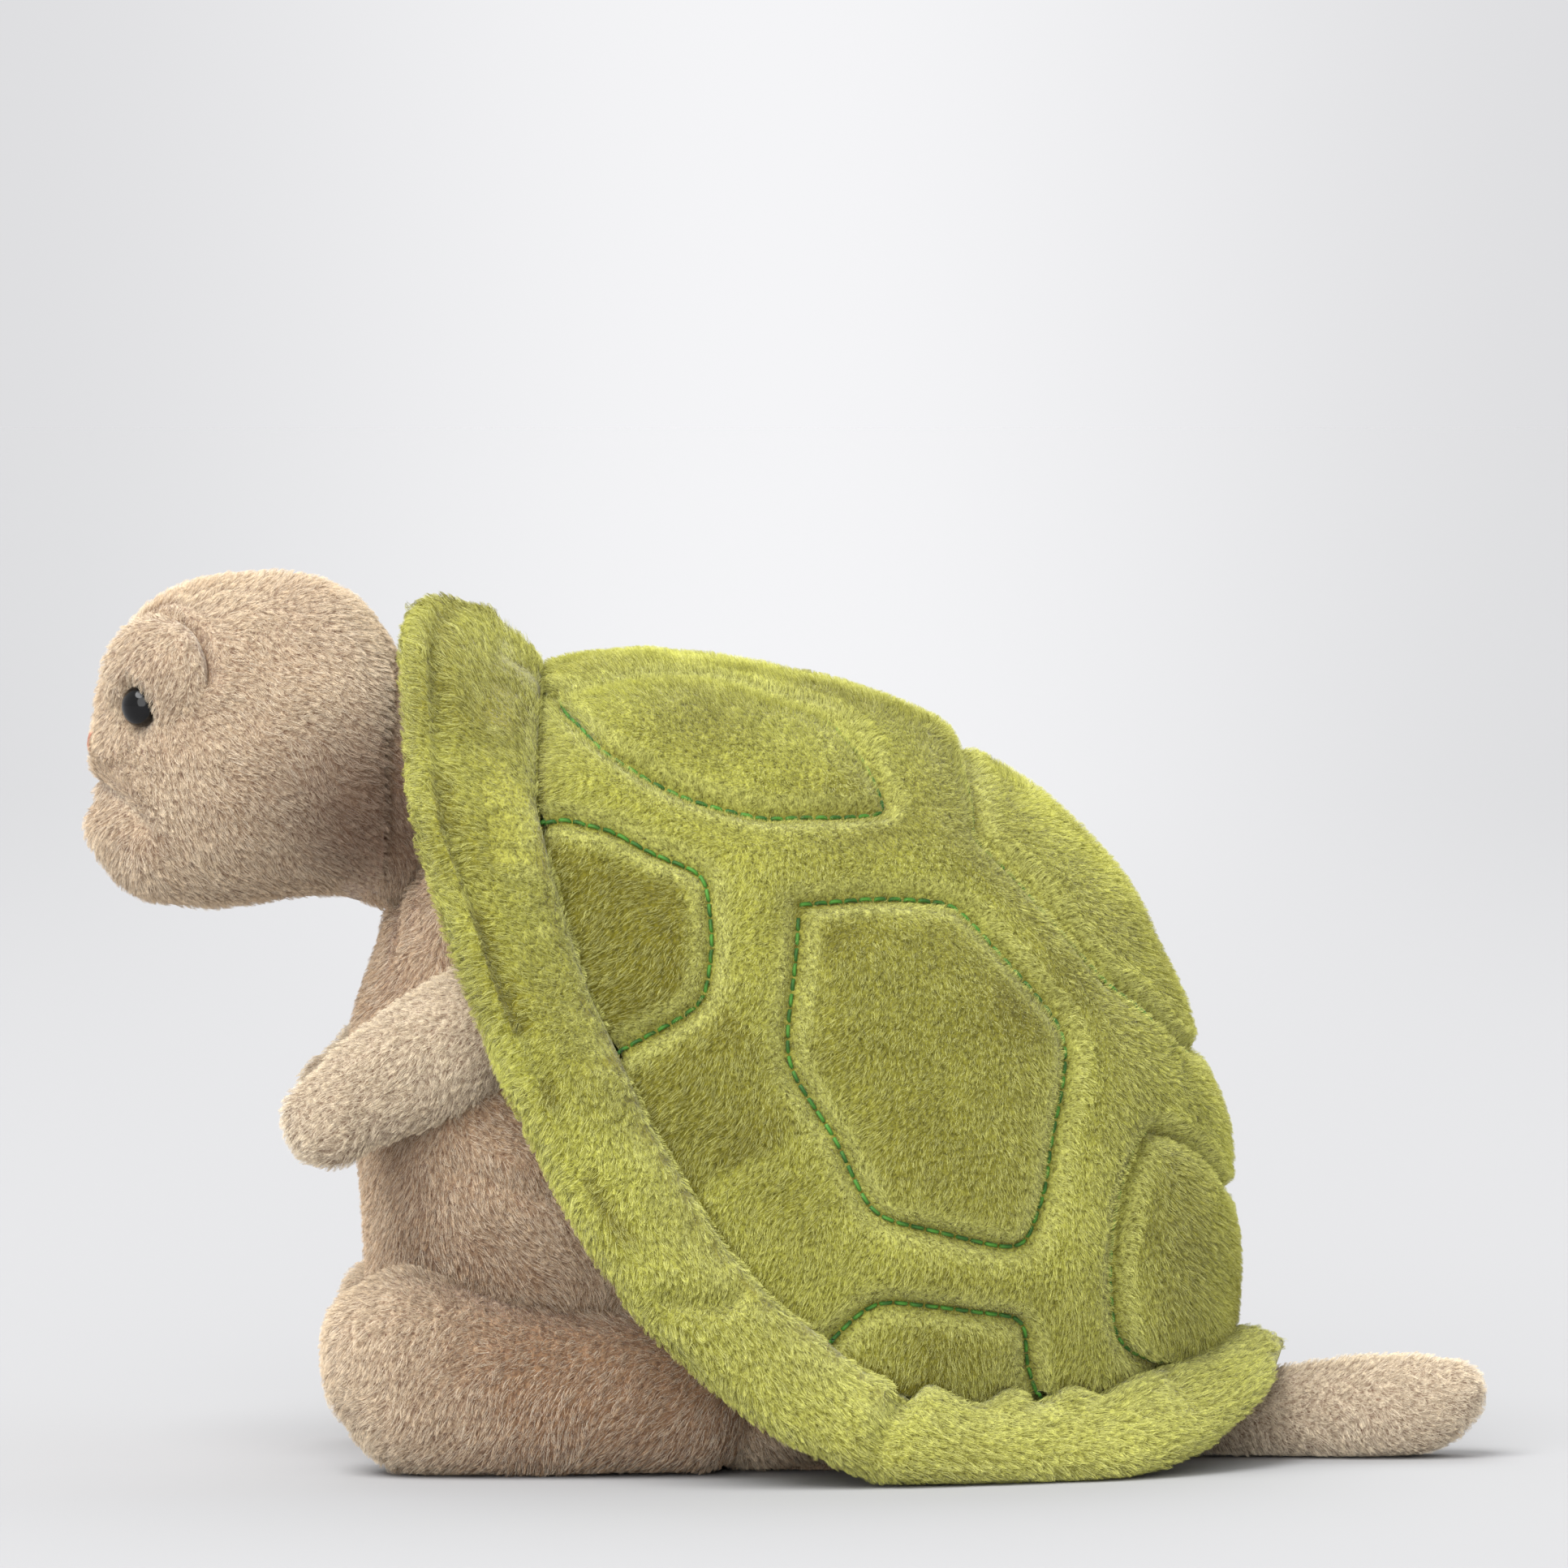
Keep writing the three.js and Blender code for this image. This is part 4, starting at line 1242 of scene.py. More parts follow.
@dataclass
class ShellDome:
    """Quilted dome of the shell, with a channel sewn round each scute."""

    toy: ToySizes
    cloth: PlushCloth
    thread: SewingThread
    squareness: float = 2.25
    swell: float = 0.05
    pile_inset: float = 2.2
    channel_depth: float = 2.9
    channel_half_width: float = 2.3
    scute_puff: float = 1.9
    scute_slope: float = 10.0
    rows: int = 340
    columns: int = 300
    columns_below: int = 22
    pile: Pile = Pile(
        3.2, rise=0.7, lean=0.55, swirl=0.35, tufts_per_cm2=70.0, fibres_per_tuft=7, clump=0.66
    )
    # Side view of the stuffing's swells, as on the other pieces
    swells: Rows = (
        (93.0, 125.0, 16.0, -2.0), (104.6, 81.0, 19.0, 1.0), (39.0, 181.0, 7.0, 2.0),
        (57.0, 171.0, 9.0, -0.8), (-2.0, 196.0, 38.0, -0.8), (109.0, 56.0, 15.0, -0.8),
    )
    # Routes of the channels: the place along the shell and the place round it from the left
    # seam. The first two go on over the ridge, and the others have a twin on the right.
    spine_scute: Rows = (
        (0.35, 0.5), (0.363, 0.423), (0.388, 0.353), (0.394, 0.336), (0.448, 0.332),
        (0.513, 0.341), (0.598, 0.421), (0.612, 0.5),
    )
    tail_scute: Rows = (
        (0.88, -0.03), (0.755, 0.096), (0.717, 0.15), (0.648, 0.226), (0.618, 0.299),
        (0.662, 0.36), (0.72, 0.43), (0.735, 0.5),
    )
    neck_scute: Rows = (
        (0.05, 0.06), (0.085, 0.115), (0.115, 0.151), (0.176, 0.161), (0.216, 0.167),
        (0.265, 0.189), (0.294, 0.204), (0.328, 0.252), (0.348, 0.291), (0.312, 0.342),
        (0.275, 0.386), (0.24, 0.392), (0.193, 0.41), (0.151, 0.36), (0.115, 0.26),
        (0.07, 0.16),
    )
    front_scute: Rows = (
        (0.15, -0.03), (0.175, 0.039), (0.212, 0.091), (0.288, 0.126), (0.328, 0.093),
        (0.352, 0.062), (0.325, -0.03),
    )
    side_scute: Rows = (
        (0.349, 0.164), (0.378, 0.215), (0.408, 0.259), (0.422, 0.262), (0.518, 0.266),
        (0.566, 0.203), (0.594, 0.173), (0.617, 0.129), (0.51, 0.067), (0.451, 0.083),
        (0.404, 0.085), (0.349, 0.164),
    )
    # Band in front of the soft fold that runs from the rim to the side scute
    fold_field: Rows = ((0.345, 0.0), (0.345, 0.07), (0.4, 0.085), (0.437, 0.082), (0.419, 0.0))
    fold: Rows = ((0.419, 0.003), (0.437, 0.082))
    fold_depth: float = 0.9
    fold_half_width: float = 2.6
    # Steps between the corners of a route, and how deep the stitches of the upper scutes sink
    # in the pile, whose lines come first
    steps: int = 14
    buried: float = 0.55
    upper_lines: int = 4
    # How far the pile stands up between the scutes
    between: float = 0.06
    # How the pile falls, and how far from a channel it is parted, stands up round a scute's
    # edge, gets painted shadow along the channel's bottom, twice as wide beside the rim, and is
    # combed flat beside it
    fall: Point = (0.0, -0.5, -0.85)
    parting: float = 4.5
    standing: float = 6.0
    channel_shadow: float = 1.1
    flattened: Sequence[float] = (2.0, 3.4)
    low_scute: Rows = ((0.552, -0.03), (0.551, 0.033), (0.61, 0.065), (0.674, 0.087), (0.76, -0.03))

    def skin_points(self, share: np.ndarray, around: np.ndarray, grow: float = 0.0) -> np.ndarray:
        """Points on the dome before it is quilted.

        Args:
            share: Places along the shell.
            around: Places round it, from the left seam at 0 to the right seam at 1.
            grow: How far outside the solid's skin.

        Returns:
            Points in millimetres.
        """
        seam = self.toy.outline(SEAM, share)
        rise = self.toy.rise(seam, share)
        height = np.linalg.norm(rise, axis=-1, keepdims=True)
        across, up = rounded(around * math.pi, self.squareness)
        swell = 1 + self.swell * np.sin(math.pi * up)
        points = seam.copy()
        points[..., 0] = (seam[..., 0] * swell + grow) * across
        return points + rise / np.maximum(height, 1e-6) * (height + grow) * up[..., None]

    def places(self) -> list[np.ndarray]:
        """Lines of all the channels as places along the shell and round it.

        Returns:
            Even steps along each line.
        """
        lines = []
        for half in (self.spine_scute, self.tail_scute):
            twin = [(s, 1 - a) for s, a in reversed(half[:-1])]
            lines.append(np.asarray(list(half) + twin, float))
        for one in (self.neck_scute, self.front_scute, self.side_scute, self.low_scute):
            lines.append(np.asarray(one, float))
            lines.append(np.asarray([(s, 1 - a) for s, a in one], float))
        return [rounded_corners(line, self.steps) for line in lines]

    def fields(self, spots: np.ndarray) -> np.ndarray:
        """Tells how far the pile stands up at places on the dome, most inside the scutes; the
        shares also carry painted shade.

        Args:
            spots: Places along the shell and round it, on either side.

        Returns:
            A value from 0 to 1 for each place.
        """
        half = np.stack([spots[:, 0], np.minimum(spots[:, 1], 1 - spots[:, 1])], 1)
        depth = np.full(len(spots), self.between)
        for outline, share in (
            (self.front_scute, 1.0),
            (self.side_scute, 0.5),
            (self.low_scute, 0.45),
            (self.spine_scute, 0.12),
            (self.neck_scute, 0.0),
            (tuple(self.tail_scute) + ((1.0, 0.5), (1.0, 0.01)), 0.3),
            (self.fold_field, 0.6),
        ):
            depth[inside(half, np.asarray(outline, float))] = share
        return depth

    def build(self) -> Object:
        """Builds the dome with its channels and puffed scutes.

        Returns:
            The skin, closed below.
        """
        place = np.linspace(0, 1, self.rows + 2)[1:-1]
        share = (1 - np.cos(place * math.pi)) / 2
        around = np.linspace(0, 1, self.columns + 1)
        grid_share, grid_around = np.meshgrid(share, around, indexing="ij")
        arch = self.skin_points(grid_share, grid_around)
        flat = np.linspace(0, 1, self.columns_below + 2)[1:-1][None, :, None]
        under = arch[:, -1:, :] * (1 - flat) + arch[:, :1, :] * flat
        skin = lofted("shell_dome_plush", np.concatenate([arch, under], 1))
        points, normals = points_of(skin), normals_of(skin)
        spots = np.stack([grid_share, grid_around], -1).reshape(-1, 2)
        self.spots = spots[nearest_of(points, arch.reshape(-1, 3))]
        lines = [resampled(self.skin_points(*line.T), LINE_STEP) for line in self.places()]
        sewn = np.vstack(lines)
        nearest = sewn[nearest_of(points, sewn)]
        self.outward = points - nearest
        self.away = np.linalg.norm(self.outward, axis=1)
        channel = self.channel_depth * bell(self.away, self.channel_half_width)
        channel *= self.slack(self.spots)
        puff = self.scute_puff * (1 - bell(self.away, self.scute_slope))
        folds = rounded_corners(np.asarray(self.fold, float), self.steps)
        folds = np.vstack([folds, folds * (1, -1) + (0, 1)])
        crease = distance_to(points, self.skin_points(*folds.T))
        fold = self.fold_depth * bell(crease, self.fold_half_width)
        height = puff - channel - fold + self.level(points)
        set_points(skin, points + normals * height[:, None])
        swollen(skin, self.swells)
        self.lines = []
        for number, line in enumerate(lines):
            near = nearest_of(line, points)
            depth = self.level(line) - self.channel_depth * self.slack(self.spots[near])
            depth -= self.buried if number < self.upper_lines else 0.0
            self.lines.append(line + normals[near] * depth[:, None])
        self.surface = surface_of(skin)
        return skin

    def slack(self, spots: np.ndarray) -> np.ndarray:
        """Share of a channel's full depth on the dome: less on the ridge and at the rim.

        Args:
            spots: Places along the shell and round it.

        Returns:
            The share at each place.
        """
        seam = np.minimum(spots[:, 1], 1 - spots[:, 1])
        ridge = 0.6 * bell(spots[:, 1], 0.07, 0.5)
        return np.clip(0.4 + seam / 0.06, 0.4, 1.0) - ridge

    def level(self, points: np.ndarray) -> np.ndarray:
        """Height of the quilting's smooth unevenness at points on the dome."""
        bumps = 0.8 * lumps(points, 30.0, 3.0) + 0.35 * lumps(points, 11.0, 8.0)
        return np.minimum(bumps, 0.5) - 0.8 - self.pile_inset

    def dress(self, skin: Object, rim: BVHTree) -> None:
        """Gives the dome its plush, short beside the sewn channels and none below.

        Args:
            skin: The dome's skin.
            rim: Search tree over the rim, beside which the pile is short and gets painted shade.
        """
        normals = normals_of(skin)
        apart = heights_over(rim, points_of(skin))
        inward = (normals[:, 1] < -0.2) & (normals[:, 2] < -0.3)
        cover = np.clip(0.4 + self.away / 2.0, 0.4, 1.0)
        cover[inward | (apart < -0.3)] = 0.0
        reach = np.clip(0.35 + (self.away - 0.8) / 3.0, 0.35, 1.0)
        reach *= np.clip(0.3 + apart / 5.0, 0.3, 1.0)
        flow = parted(self.fall, self.outward, self.away, self.parting)
        # Standing pile inside the scutes, partly painted shade, and painted shadow along the
        # channels' bottoms and in the crevice beside the rim
        stood_and_shade = self.fields(self.spots) * (1 - bell(self.away, self.standing))
        stood_and_shade = stood_and_shade + bell(self.away, self.channel_shadow) + bell(apart, 2 * self.channel_shadow)
        lay = np.stack([stood_and_shade, 0.75 * bell(self.away, *self.flattened)], 1)
        piece = PlushPiece(skin, self.cloth, Slot.GREEN, ROOT, ("shell_dome",), 0.75)
        piece.dress(self.pile, 11, flow, lay, cover, reach)
        piece.ride()

    def sew(self) -> None:
        """Lays the running stitches in the channels."""

        def outward(point: Vector) -> Vector:
            """Way out of the dome at a point."""
            return (point - Vector((0.0, 20.0, 60.0))).normalized()

        stitches = mesh_object("scute_stitching", *StitchRow().shape(self.lines, outward))
        finished(stitches, self.thread.make(), Slot.GREEN, ROOT)


@dataclass
class ShellRim:
    """Padded roll round the shell, from the dome's seam out to the hem."""

    toy: ToySizes
    cloth: PlushCloth
    thickness: float = 17.0
    squareness: float = 2.6
    pile_inset: float = 1.7
    # The rolled edge: how wide it is, and the half width and depth of the groove behind it
    roll_width: float = 8.0
    groove_half_width: float = 2.0
    groove_depth: float = 2.2
    # How far the seam's gathers reach, how high they stand and how far they wander
    seam_reach: float = 11.0
    gather_depth: float = 0.8
    scallop_depth: float = 1.7
    # Where along the length the gathered seam rises and falls by turns
    gathers: Sequence[float] = (21.0, 27.0, 34.5, 46.0, 54.5, 61.0, 69.0, 76.0, 87.0)
    fold_depth: float = 2.1
    fold_half_width: float = 2.7
    overlap: float = 3.2
    rows: int = 620
    columns: int = 76
    pile: Pile = Pile(3.2, lean=0.74, swirl=0.4, clump=0.82)
    # How far the stuffing lifts the collar's top forward and up
    peak: Sequence[float] = (6.2, 1.0)
    slope: Sequence[float] = (2.6, 1.6)
    swells: Rows = (
        (60.0, 4.0, 40.0, 0.8), (95.0, 7.0, 17.0, 1.5), (-75.0, 213.0, 6.0, -1.6),
        (-81.5, 215.0, 4.0, 0.9), (-91.0, 214.0, 5.0, -1.6),
    )
    # Soft folds in the side view
    folds: Sequence[Rows] = (
        ((30.0, 22.0), (25.0, 16.0), (22.0, 9.0)),
        ((-28.0, 46.5), (-20.0, 45.5), (-12.0, 46.0)),
    )
    thickness_rows: Rows = (
        (1,), (1,), (1,), (1,), (1,), (1,), (0.95,), (0.9,), (0.85,), (0.8,), (0.75,), (0.68,),
        (0.56,), (0.4,),
    )

    def build(self, dome: ShellDome) -> Object:
        """Builds the rim, with the rolled edge in front and gathers at the dome's seam.

        Args:
            dome: The dome that the rim is sewn to.

        Returns:
            The rim's skin.
        """
        turn = 2 * np.arange(self.rows) / self.rows
        left = turn <= 1
        share = np.where(left, turn, 2 - turn)
        seam, hem = self.toy.outline(SEAM, share), self.toy.outline(HEM, share)
        ahead = self.toy.outline(HEM, np.minimum(share + HEM_STEP, 1))
        tangent = ahead - self.toy.outline(HEM, np.maximum(share - HEM_STEP, 0))
        tangent[share < HEM_STEP / 2] = (1, 0, 0)
        tangent[share > 1 - HEM_STEP / 2] = (-1, 0, 0)
        wide = hem - seam
        width = np.linalg.norm(wide, axis=-1, keepdims=True)
        normal = unit(np.cross(tangent, wide))
        thick = self.thickness * smooth_at(self.thickness_rows, 0, share)[:, None] / 2
        middle = (seam + hem) / 2
        angle = np.arange(self.columns) * 2 * math.pi / self.columns
        out, up = rounded(angle, self.squareness)
        half = width / 2
        inset = half * (1 - out[None, :])
        fading = np.clip(1.6 - 3 * share, 0, 1) * np.clip(share / 0.07, 0.15, 1)
        roll = bell(inset, self.groove_half_width, self.roll_width) * fading[:, None]
        outer = np.where(up[None, :] * np.sign(normal[:, 2:3] + 1e-9) > 0.3, 1.0, 0.35)
        near_seam = bell(half * (1 + out[None, :]), self.seam_reach)
        back, first, last = seam[:, 1], self.gathers[0], self.gathers[-1]
        wave = np.cos(np.interp(back, self.gathers, np.arange(len(self.gathers)) * math.pi))
        wave *= np.clip((back - first) / 6, 0, 1) * np.clip((last - back) / 10, 0, 1)
        gather = near_seam * wave[:, None]
        scallop = self.scallop_depth * gather + self.overlap * near_seam
        scallop *= np.clip(-out, 0, 1)[None, :]
        dip = self.groove_depth * roll * outer - self.gather_depth * gather
        height = thick * up[None, :] - np.sign(up)[None, :] * dip
        rings = (
            middle[:, None, :]
            + (wide / width)[:, None, :] * (half * out[None, :] - scallop)[:, :, None]
            + normal[:, None, :] * height[:, :, None]
        )
        tip = (np.clip(1 - share / 0.12, 0, 1) ** 2)[:, None]
        offset = rings - middle[:, None, :]
        front = np.clip(-offset[..., 1] / 6, 0, 1) * np.clip(offset[..., 2] / 8 + 0.7, 0, 1)
        rear = np.clip(offset[..., 1] / 12, 0, 1)
        rear = rear**2 * (3 - 2 * rear)
        rings[..., 1] -= tip * (self.peak[0] * front + self.slope[0] * rear)
        lift = self.peak[1] * np.clip(offset[..., 2] / 12, 0, 1)
        rings[..., 2] += tip * (lift - self.slope[1] * rear)
        rings[~left, :, 0] *= -1
        skin = lofted("shell_rim_plush", rings, rows_close=True)
        rolled = rings[share < 0.5][:, np.argmin(np.abs(inset[0] - self.roll_width))]
        self.crease = distance_to(points_of(skin), rolled)
        stuffed(skin, self.pile_inset, 0.9, 21.0)
        swollen(skin, self.swells)
        folds = [seen_line(skin, fold, side.value) for fold in self.folds for side in Side]
        pressed(skin, folds, self.fold_depth, self.fold_half_width)
        self.apart = heights_over(dome.surface, points_of(skin))
        return skin

    def dress(self, skin: Object) -> None:
        """Gives the rim its plush, combed from the seam out to the hem.

        Args:
            skin: The rim's skin.
        """
        points = points_of(skin)
        share = np.linspace(0, 1, 240)
        seam, hem = self.toy.outline(SEAM, share), self.toy.outline(HEM, share)
        middle = (seam + hem) / 2
        near = nearest_of(np.abs(points) * (1, 0, 0) + points * (0, 1, 1), middle)
        along = unit(np.gradient(hem, axis=0))
        lengthwise = np.clip((share - 0.25) * 3, 0, 1)[:, None]
        outward = unit(hem - seam)
        flow = (outward * (1 - 0.55 * lengthwise) + along * lengthwise)[near]
        flow = flow + 2.0 * outward[near] * bell(self.apart, 3.0)[:, None]
        flow[:, 0] *= np.where(points[:, 0] < 0, -1, 1)
        reach = np.clip(0.2 + self.apart / 6.0, 0.2, 1.0)
        cover = np.where(self.apart < 0.4, 0.0, 1.0)
        lay = np.zeros((len(points), 2))
        # Painted shade in patches along the roll's groove, in the crevice at the dome and over the
        # rim's front; the paler tone lies beside the dome's seam, with painted light toward the
        # rim's rear
        lay[:, 0] = 0.8 * np.clip(1.2 - self.crease / 3.0, 0, 1) * (lumps(points, 18.0, 4.4) > -0.1)
        lay[:, 0] += bell(self.apart, 1.8) + 0.45 * np.clip(1.4 - 4.0 * share[near], 0, 1)
        lay[:, 1] = 0.6 * bell(self.apart, 2.5, 3.5) + 0.35 * np.clip(3 * share[near] - 1.2, 0, 1)
        piece = PlushPiece(skin, self.cloth, Slot.GREEN, ROOT, ("shell_rim",), 0.7)
        piece.dress(self.pile, 23, flow, lay, cover, reach)
        piece.ride()


@dataclass
class ShellLining:
    """Cloth that closes the shell's underside, behind the torso."""

    toy: ToySizes
    cloth: WovenCloth
    thickness: float = 1.6
    drop: float = 1.2
    margin: float = 4.0
    sag: float = 1.2
    # Where along the seam it starts and ends
    span: Sequence[float] = (0.035, 0.965)
    rows: int = 90
    columns: int = 70

    def build(self) -> Object:
        """Builds the lining as a thin closed sheet that sags between its seams.

        Returns:
            The lining.
        """
        share = np.linspace(*self.span, self.rows)
        seam = self.toy.outline(SEAM, share)
        rise = unit(self.toy.rise(seam, share))
        half = np.maximum(seam[:, 0] - self.margin, 3.0)
        across = np.linspace(-1, 1, self.columns)
        both = np.concatenate([across, across[::-1]])
        slack = self.sag * (1 - both**2)
        level = -self.drop - slack - np.repeat([0.0, self.thickness], self.columns)
        rings = np.zeros((self.rows, 2 * self.columns, 3))
        rings[..., 0] = half[:, None] * both[None, :]
        rings[..., 1:] = seam[:, None, 1:] + rise[:, None, 1:] * level[None, :, None]
        return lofted("shell_lining_cloth", rings)

    def dress(self, lining: Object) -> None:
        """Gives the lining its cloth."""
        finished(lining, self.cloth.make(), Slot.LINING, ROOT)
        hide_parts("shell_lining")


@dataclass
class Torso:
    """Belly, chest and seat in one skin, with the neck ball on top and the panel below."""

    cloth: PlushCloth
    length: float = 190.0
    front_y: float = -108.0
    half_width: float = 66.0
    top_z: float = 190.0
    seat_front_y: float = -24.0
    seat_length: float = 128.0
    seat_half_width: float = 62.0
    seat_height: float = 42.0
    squareness: float = 2.2
    seat_squareness: float = 2.6
    belly_rings: int = 90
    seat_rings: int = 80
    around: int = 96
    # Spacing of the rough mesh before the rooms are cut out, and of the fine one
    rough_voxel: float = 2.0
    voxel: float = 1.8
    pile_inset: float = 2.4
    lump: float = 1.1
    fold_depth: float = 1.5
    fold_half_width: float = 2.4
    belly_rows: Rows = (
        (0, 0.42, 0.13, 0.62), (0.12, 0.62, 0.03, 0.62), (0.24, 0.86, 0.02, 0.58),
        (0.33, 0.98, 0.012, 0.54), (0.42, 1, 0.005, 0.48), (0.55, 0.89, 0, 0.42),
        (0.64, 0.8, 0.028, 0.38), (0.715, 0.76, 0.057, 0.33), (0.77, 0.7, 0.09, 0.32),
        (0.87, 0.62, 0.13, 0.3), (1, 0.4, 0.17, 0.27),
    )
    # Soft folds in the side view, along the length and up the height
    folds: Sequence[Rows] = (
        ((-89.0, 154.0), (-92.5, 140.0), (-94.0, 126.0)),
        ((-80.0, 76.0), (-62.0, 70.0), (-46.0, 68.0)),
    )
    swells: Rows = ((-106.0, 66.0, 16.0, -0.9), (-6.0, 8.0, 16.0, 5.0), (-97.0, 138.0, 6.0, 1.2))
    seat_rows: Rows = (
        (0, 0.86, 0.95), (0.22, 1, 1), (0.45, 0.95, 0.86), (0.7, 0.72, 0.5), (1, 0.34, 0.44),
    )

    def belly(self) -> Object:
        """Builds the upright part.

        Returns:
            The form.
        """
        share = np.linspace(0, 1, self.belly_rings)
        angle = np.linspace(0, 2 * math.pi, self.around + 1)[:-1]
        across, along = rounded(angle, self.squareness)
        front = self.front_y + self.length * smooth_at(self.belly_rows, 2, share)
        back = self.front_y + self.length * smooth_at(self.belly_rows, 3, share)
        rings = np.zeros((len(share), len(angle), 3))
        width = self.half_width * smooth_at(self.belly_rows, 1, share)
        rings[..., 0] = width[:, None] * across
        rings[..., 1] = ((front + back) / 2)[:, None] + ((back - front) / 2)[:, None] * along
        rings[..., 2] = (self.top_z * smooth_at(self.belly_rows, 0, share))[:, None]
        return lofted("torso_plush", rings)

    def seat(self) -> Object:
        """Builds the part below the shell.

        Returns:
            The form.
        """
        share = np.linspace(0, 1, self.seat_rings)
        angle = np.linspace(0, 2 * math.pi, self.around + 1)[:-1]
        across, up = rounded(angle, self.seat_squareness)
        high = self.seat_height * smooth_at(self.seat_rows, 2, share)
        rings = np.zeros((len(share), len(angle), 3))
        width = self.seat_half_width * smooth_at(self.seat_rows, 1, share)
        rings[..., 0] = width[:, None] * across
        rings[..., 1] = (self.seat_front_y + self.seat_length * share)[:, None]
        rings[..., 2] = (high / 2)[:, None] + (high / 2)[:, None] * up
        return lofted("seat_form", rings)

    def build(self) -> Object:
        """Joins the two forms and makes room for the shell and the neck.

        Returns:
            The torso's skin.
        """
        skin = self.belly()
        joined(skin, self.seat())
        remeshed(skin, self.rough_voxel, 8)
        beside = ("shell_dome", "shell_lining", "shell_rim", "neck")
        rooms = [node_copy(node, f"room_{node}") for node in beside]
        carved(skin, rooms)
        for room in rooms:
            bpy.data.objects.remove(room)
        largest_body(skin)
        remeshed(skin, self.voxel, 12)
        largest_body(skin)
        stuffed(skin, self.pile_inset, self.lump, 31.0)
        lines = [seen_line(skin, fold, side.value) for fold in self.folds for side in Side]
        pressed(skin, lines, self.fold_depth, self.fold_half_width)
        swollen(skin, self.swells)
        return skin

    def dress(self, skin: Object) -> None:
        """Gives the torso its plush, with none behind the shell.

        Args:
            skin: The torso's skin.
        """
        points = points_of(skin)
        hidden = (points[:, 1] > -30) & (points[:, 2] > 60)
        # Painted shade over the chest and belly, less toward the seat
        lay = np.stack([0.38 * np.clip(-points[:, 1] / 60, 0.2, 1), np.zeros(len(points))], 1)
        piece = PlushPiece(skin, self.cloth, Slot.BEIGE, ROOT, ("torso",), 0.65)
        piece.dress(Pile(), 31, (0.0, 0.45, -0.8), lay, np.where(hidden, 0.0, 1.0))
        piece.ride()


@dataclass
class SoftNode:
    """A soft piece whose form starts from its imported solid."""

    node: str
    cloth: PlushCloth
    body: str
    voxel: float = 1.5
    soften: int = 26
    pile_inset: float = 1.4
    lump: float = 0.7
    fill: float = 0.7
    # Painted shade on the rear, toward the shell that shades it, and painted light that makes the
    # rest paler
    shaded: float = 0.0
    combed_and_lit: float = 0.0
    # Side view of the stuffing's swells: along the length, up the height, their radius and
    # how far they push the skin out
    swells: Rows = ()
    more: tuple[str, ...] = ()
    flow: Point = (0.0, 0.4, -0.8)
    pile: Pile = Pile()
    seed: int = 1

    def build(self) -> Object:
        """Builds the skin.

        Returns:
            The skin.
        """
        skin = node_copy(self.node, f"{self.node}_plush")
        for node in self.more:
            joined(skin, node_copy(node, f"form_{node}"))
        remeshed(skin, self.voxel, self.soften)
        largest_body(skin)
        stuffed(skin, self.pile_inset, self.lump, float(self.seed))
        swollen(skin, self.swells)
        return skin

    def dress(self, skin: Object) -> None:
        """Gives the skin its plush.

        Args:
            skin: The skin.
        """
        nodes = (self.node,) + self.more
        points = points_of(skin)
        # Painted shade on the rear, toward the shell, and painted light on the rest
        shaded = self.shaded * np.clip((points[:, 1] + 102) / 40, 0, 1)
        lay = np.stack([shaded, self.combed_and_lit * (1 - np.clip(shaded, 0, 1))], 1)
        piece = PlushPiece(skin, self.cloth, Slot.BEIGE, self.body, nodes, self.fill)
        piece.dress(self.pile, self.seed, self.flow, lay)


@dataclass
class Eye:
    """Glossy safety eye: a moulded dome on a thin flange, with a shank behind."""

    side: Side
    plastic: MouldedPlastic
    x: float = 25.6
    y: float = -157.4
    z: float = 186.0
    look: Point = (0.68, -0.72, 0.05)
    radius: float = 5.2
    dome: float = 4.2
    flange: float = 1.1
    sunk: float = 1.4
    shank_radius: float = 1.5
    shank_length: float = 12.0
    # How narrow and how long the shank's tip is, and how far the flange's edges are rounded
    tip: Sequence[float] = (0.7, 0.5)
    rounding: float = 0.3
    brim_rounding: float = 0.35
    around: int = 64
    steps: int = 24

    def axis(self) -> tuple[Vector, Vector]:
        """Middle of the eye and the way it looks."""
        way = Vector((self.look[0] * self.side.value, self.look[1], self.look[2])).normalized()
        return Vector((self.x * self.side.value, self.y, self.z)), way

    def build(self) -> Object:
        """Builds the eye as a turned profile with rounded edges.

        Returns:
            The eye.
        """
        middle, way = self.axis()
        side = way.cross(Vector((0, 0, 1))).normalized()
        up = side.cross(way).normalized()
        edge, shank, soft = self.flange - self.sunk, self.shank_radius, self.rounding
        narrow, tip = self.tip
        profile = [(shank * narrow, -self.shank_length), (shank, -self.shank_length + tip)]
        profile += [(shank, -self.sunk - soft), (shank + soft, -self.sunk)]
        profile += [(self.radius - self.brim_rounding, -self.sunk)]
        profile += [(self.radius, -self.sunk + soft), (self.radius, edge)]
        for angle in np.linspace(0, math.pi / 2, self.steps + 2)[1:-1]:
            profile.append((self.radius * math.cos(angle), edge + self.dome * math.sin(angle)))
        turns = np.arange(self.around) * 2 * math.pi / self.around
        rays = [side * math.cos(a) + up * math.sin(a) for a in turns]
        rings = [[middle + way * out + ray * radius for ray in rays] for radius, out in profile]
        return lofted(f"{self.side.word}_eye_dome", np.asarray(rings, float))

    def dress(self, eye: Object) -> None:
        """Gives the eye its plastic."""
        finished(eye, self.plastic.make(), Slot.EYE, "head")
        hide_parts(f"{self.side.word}_eye")


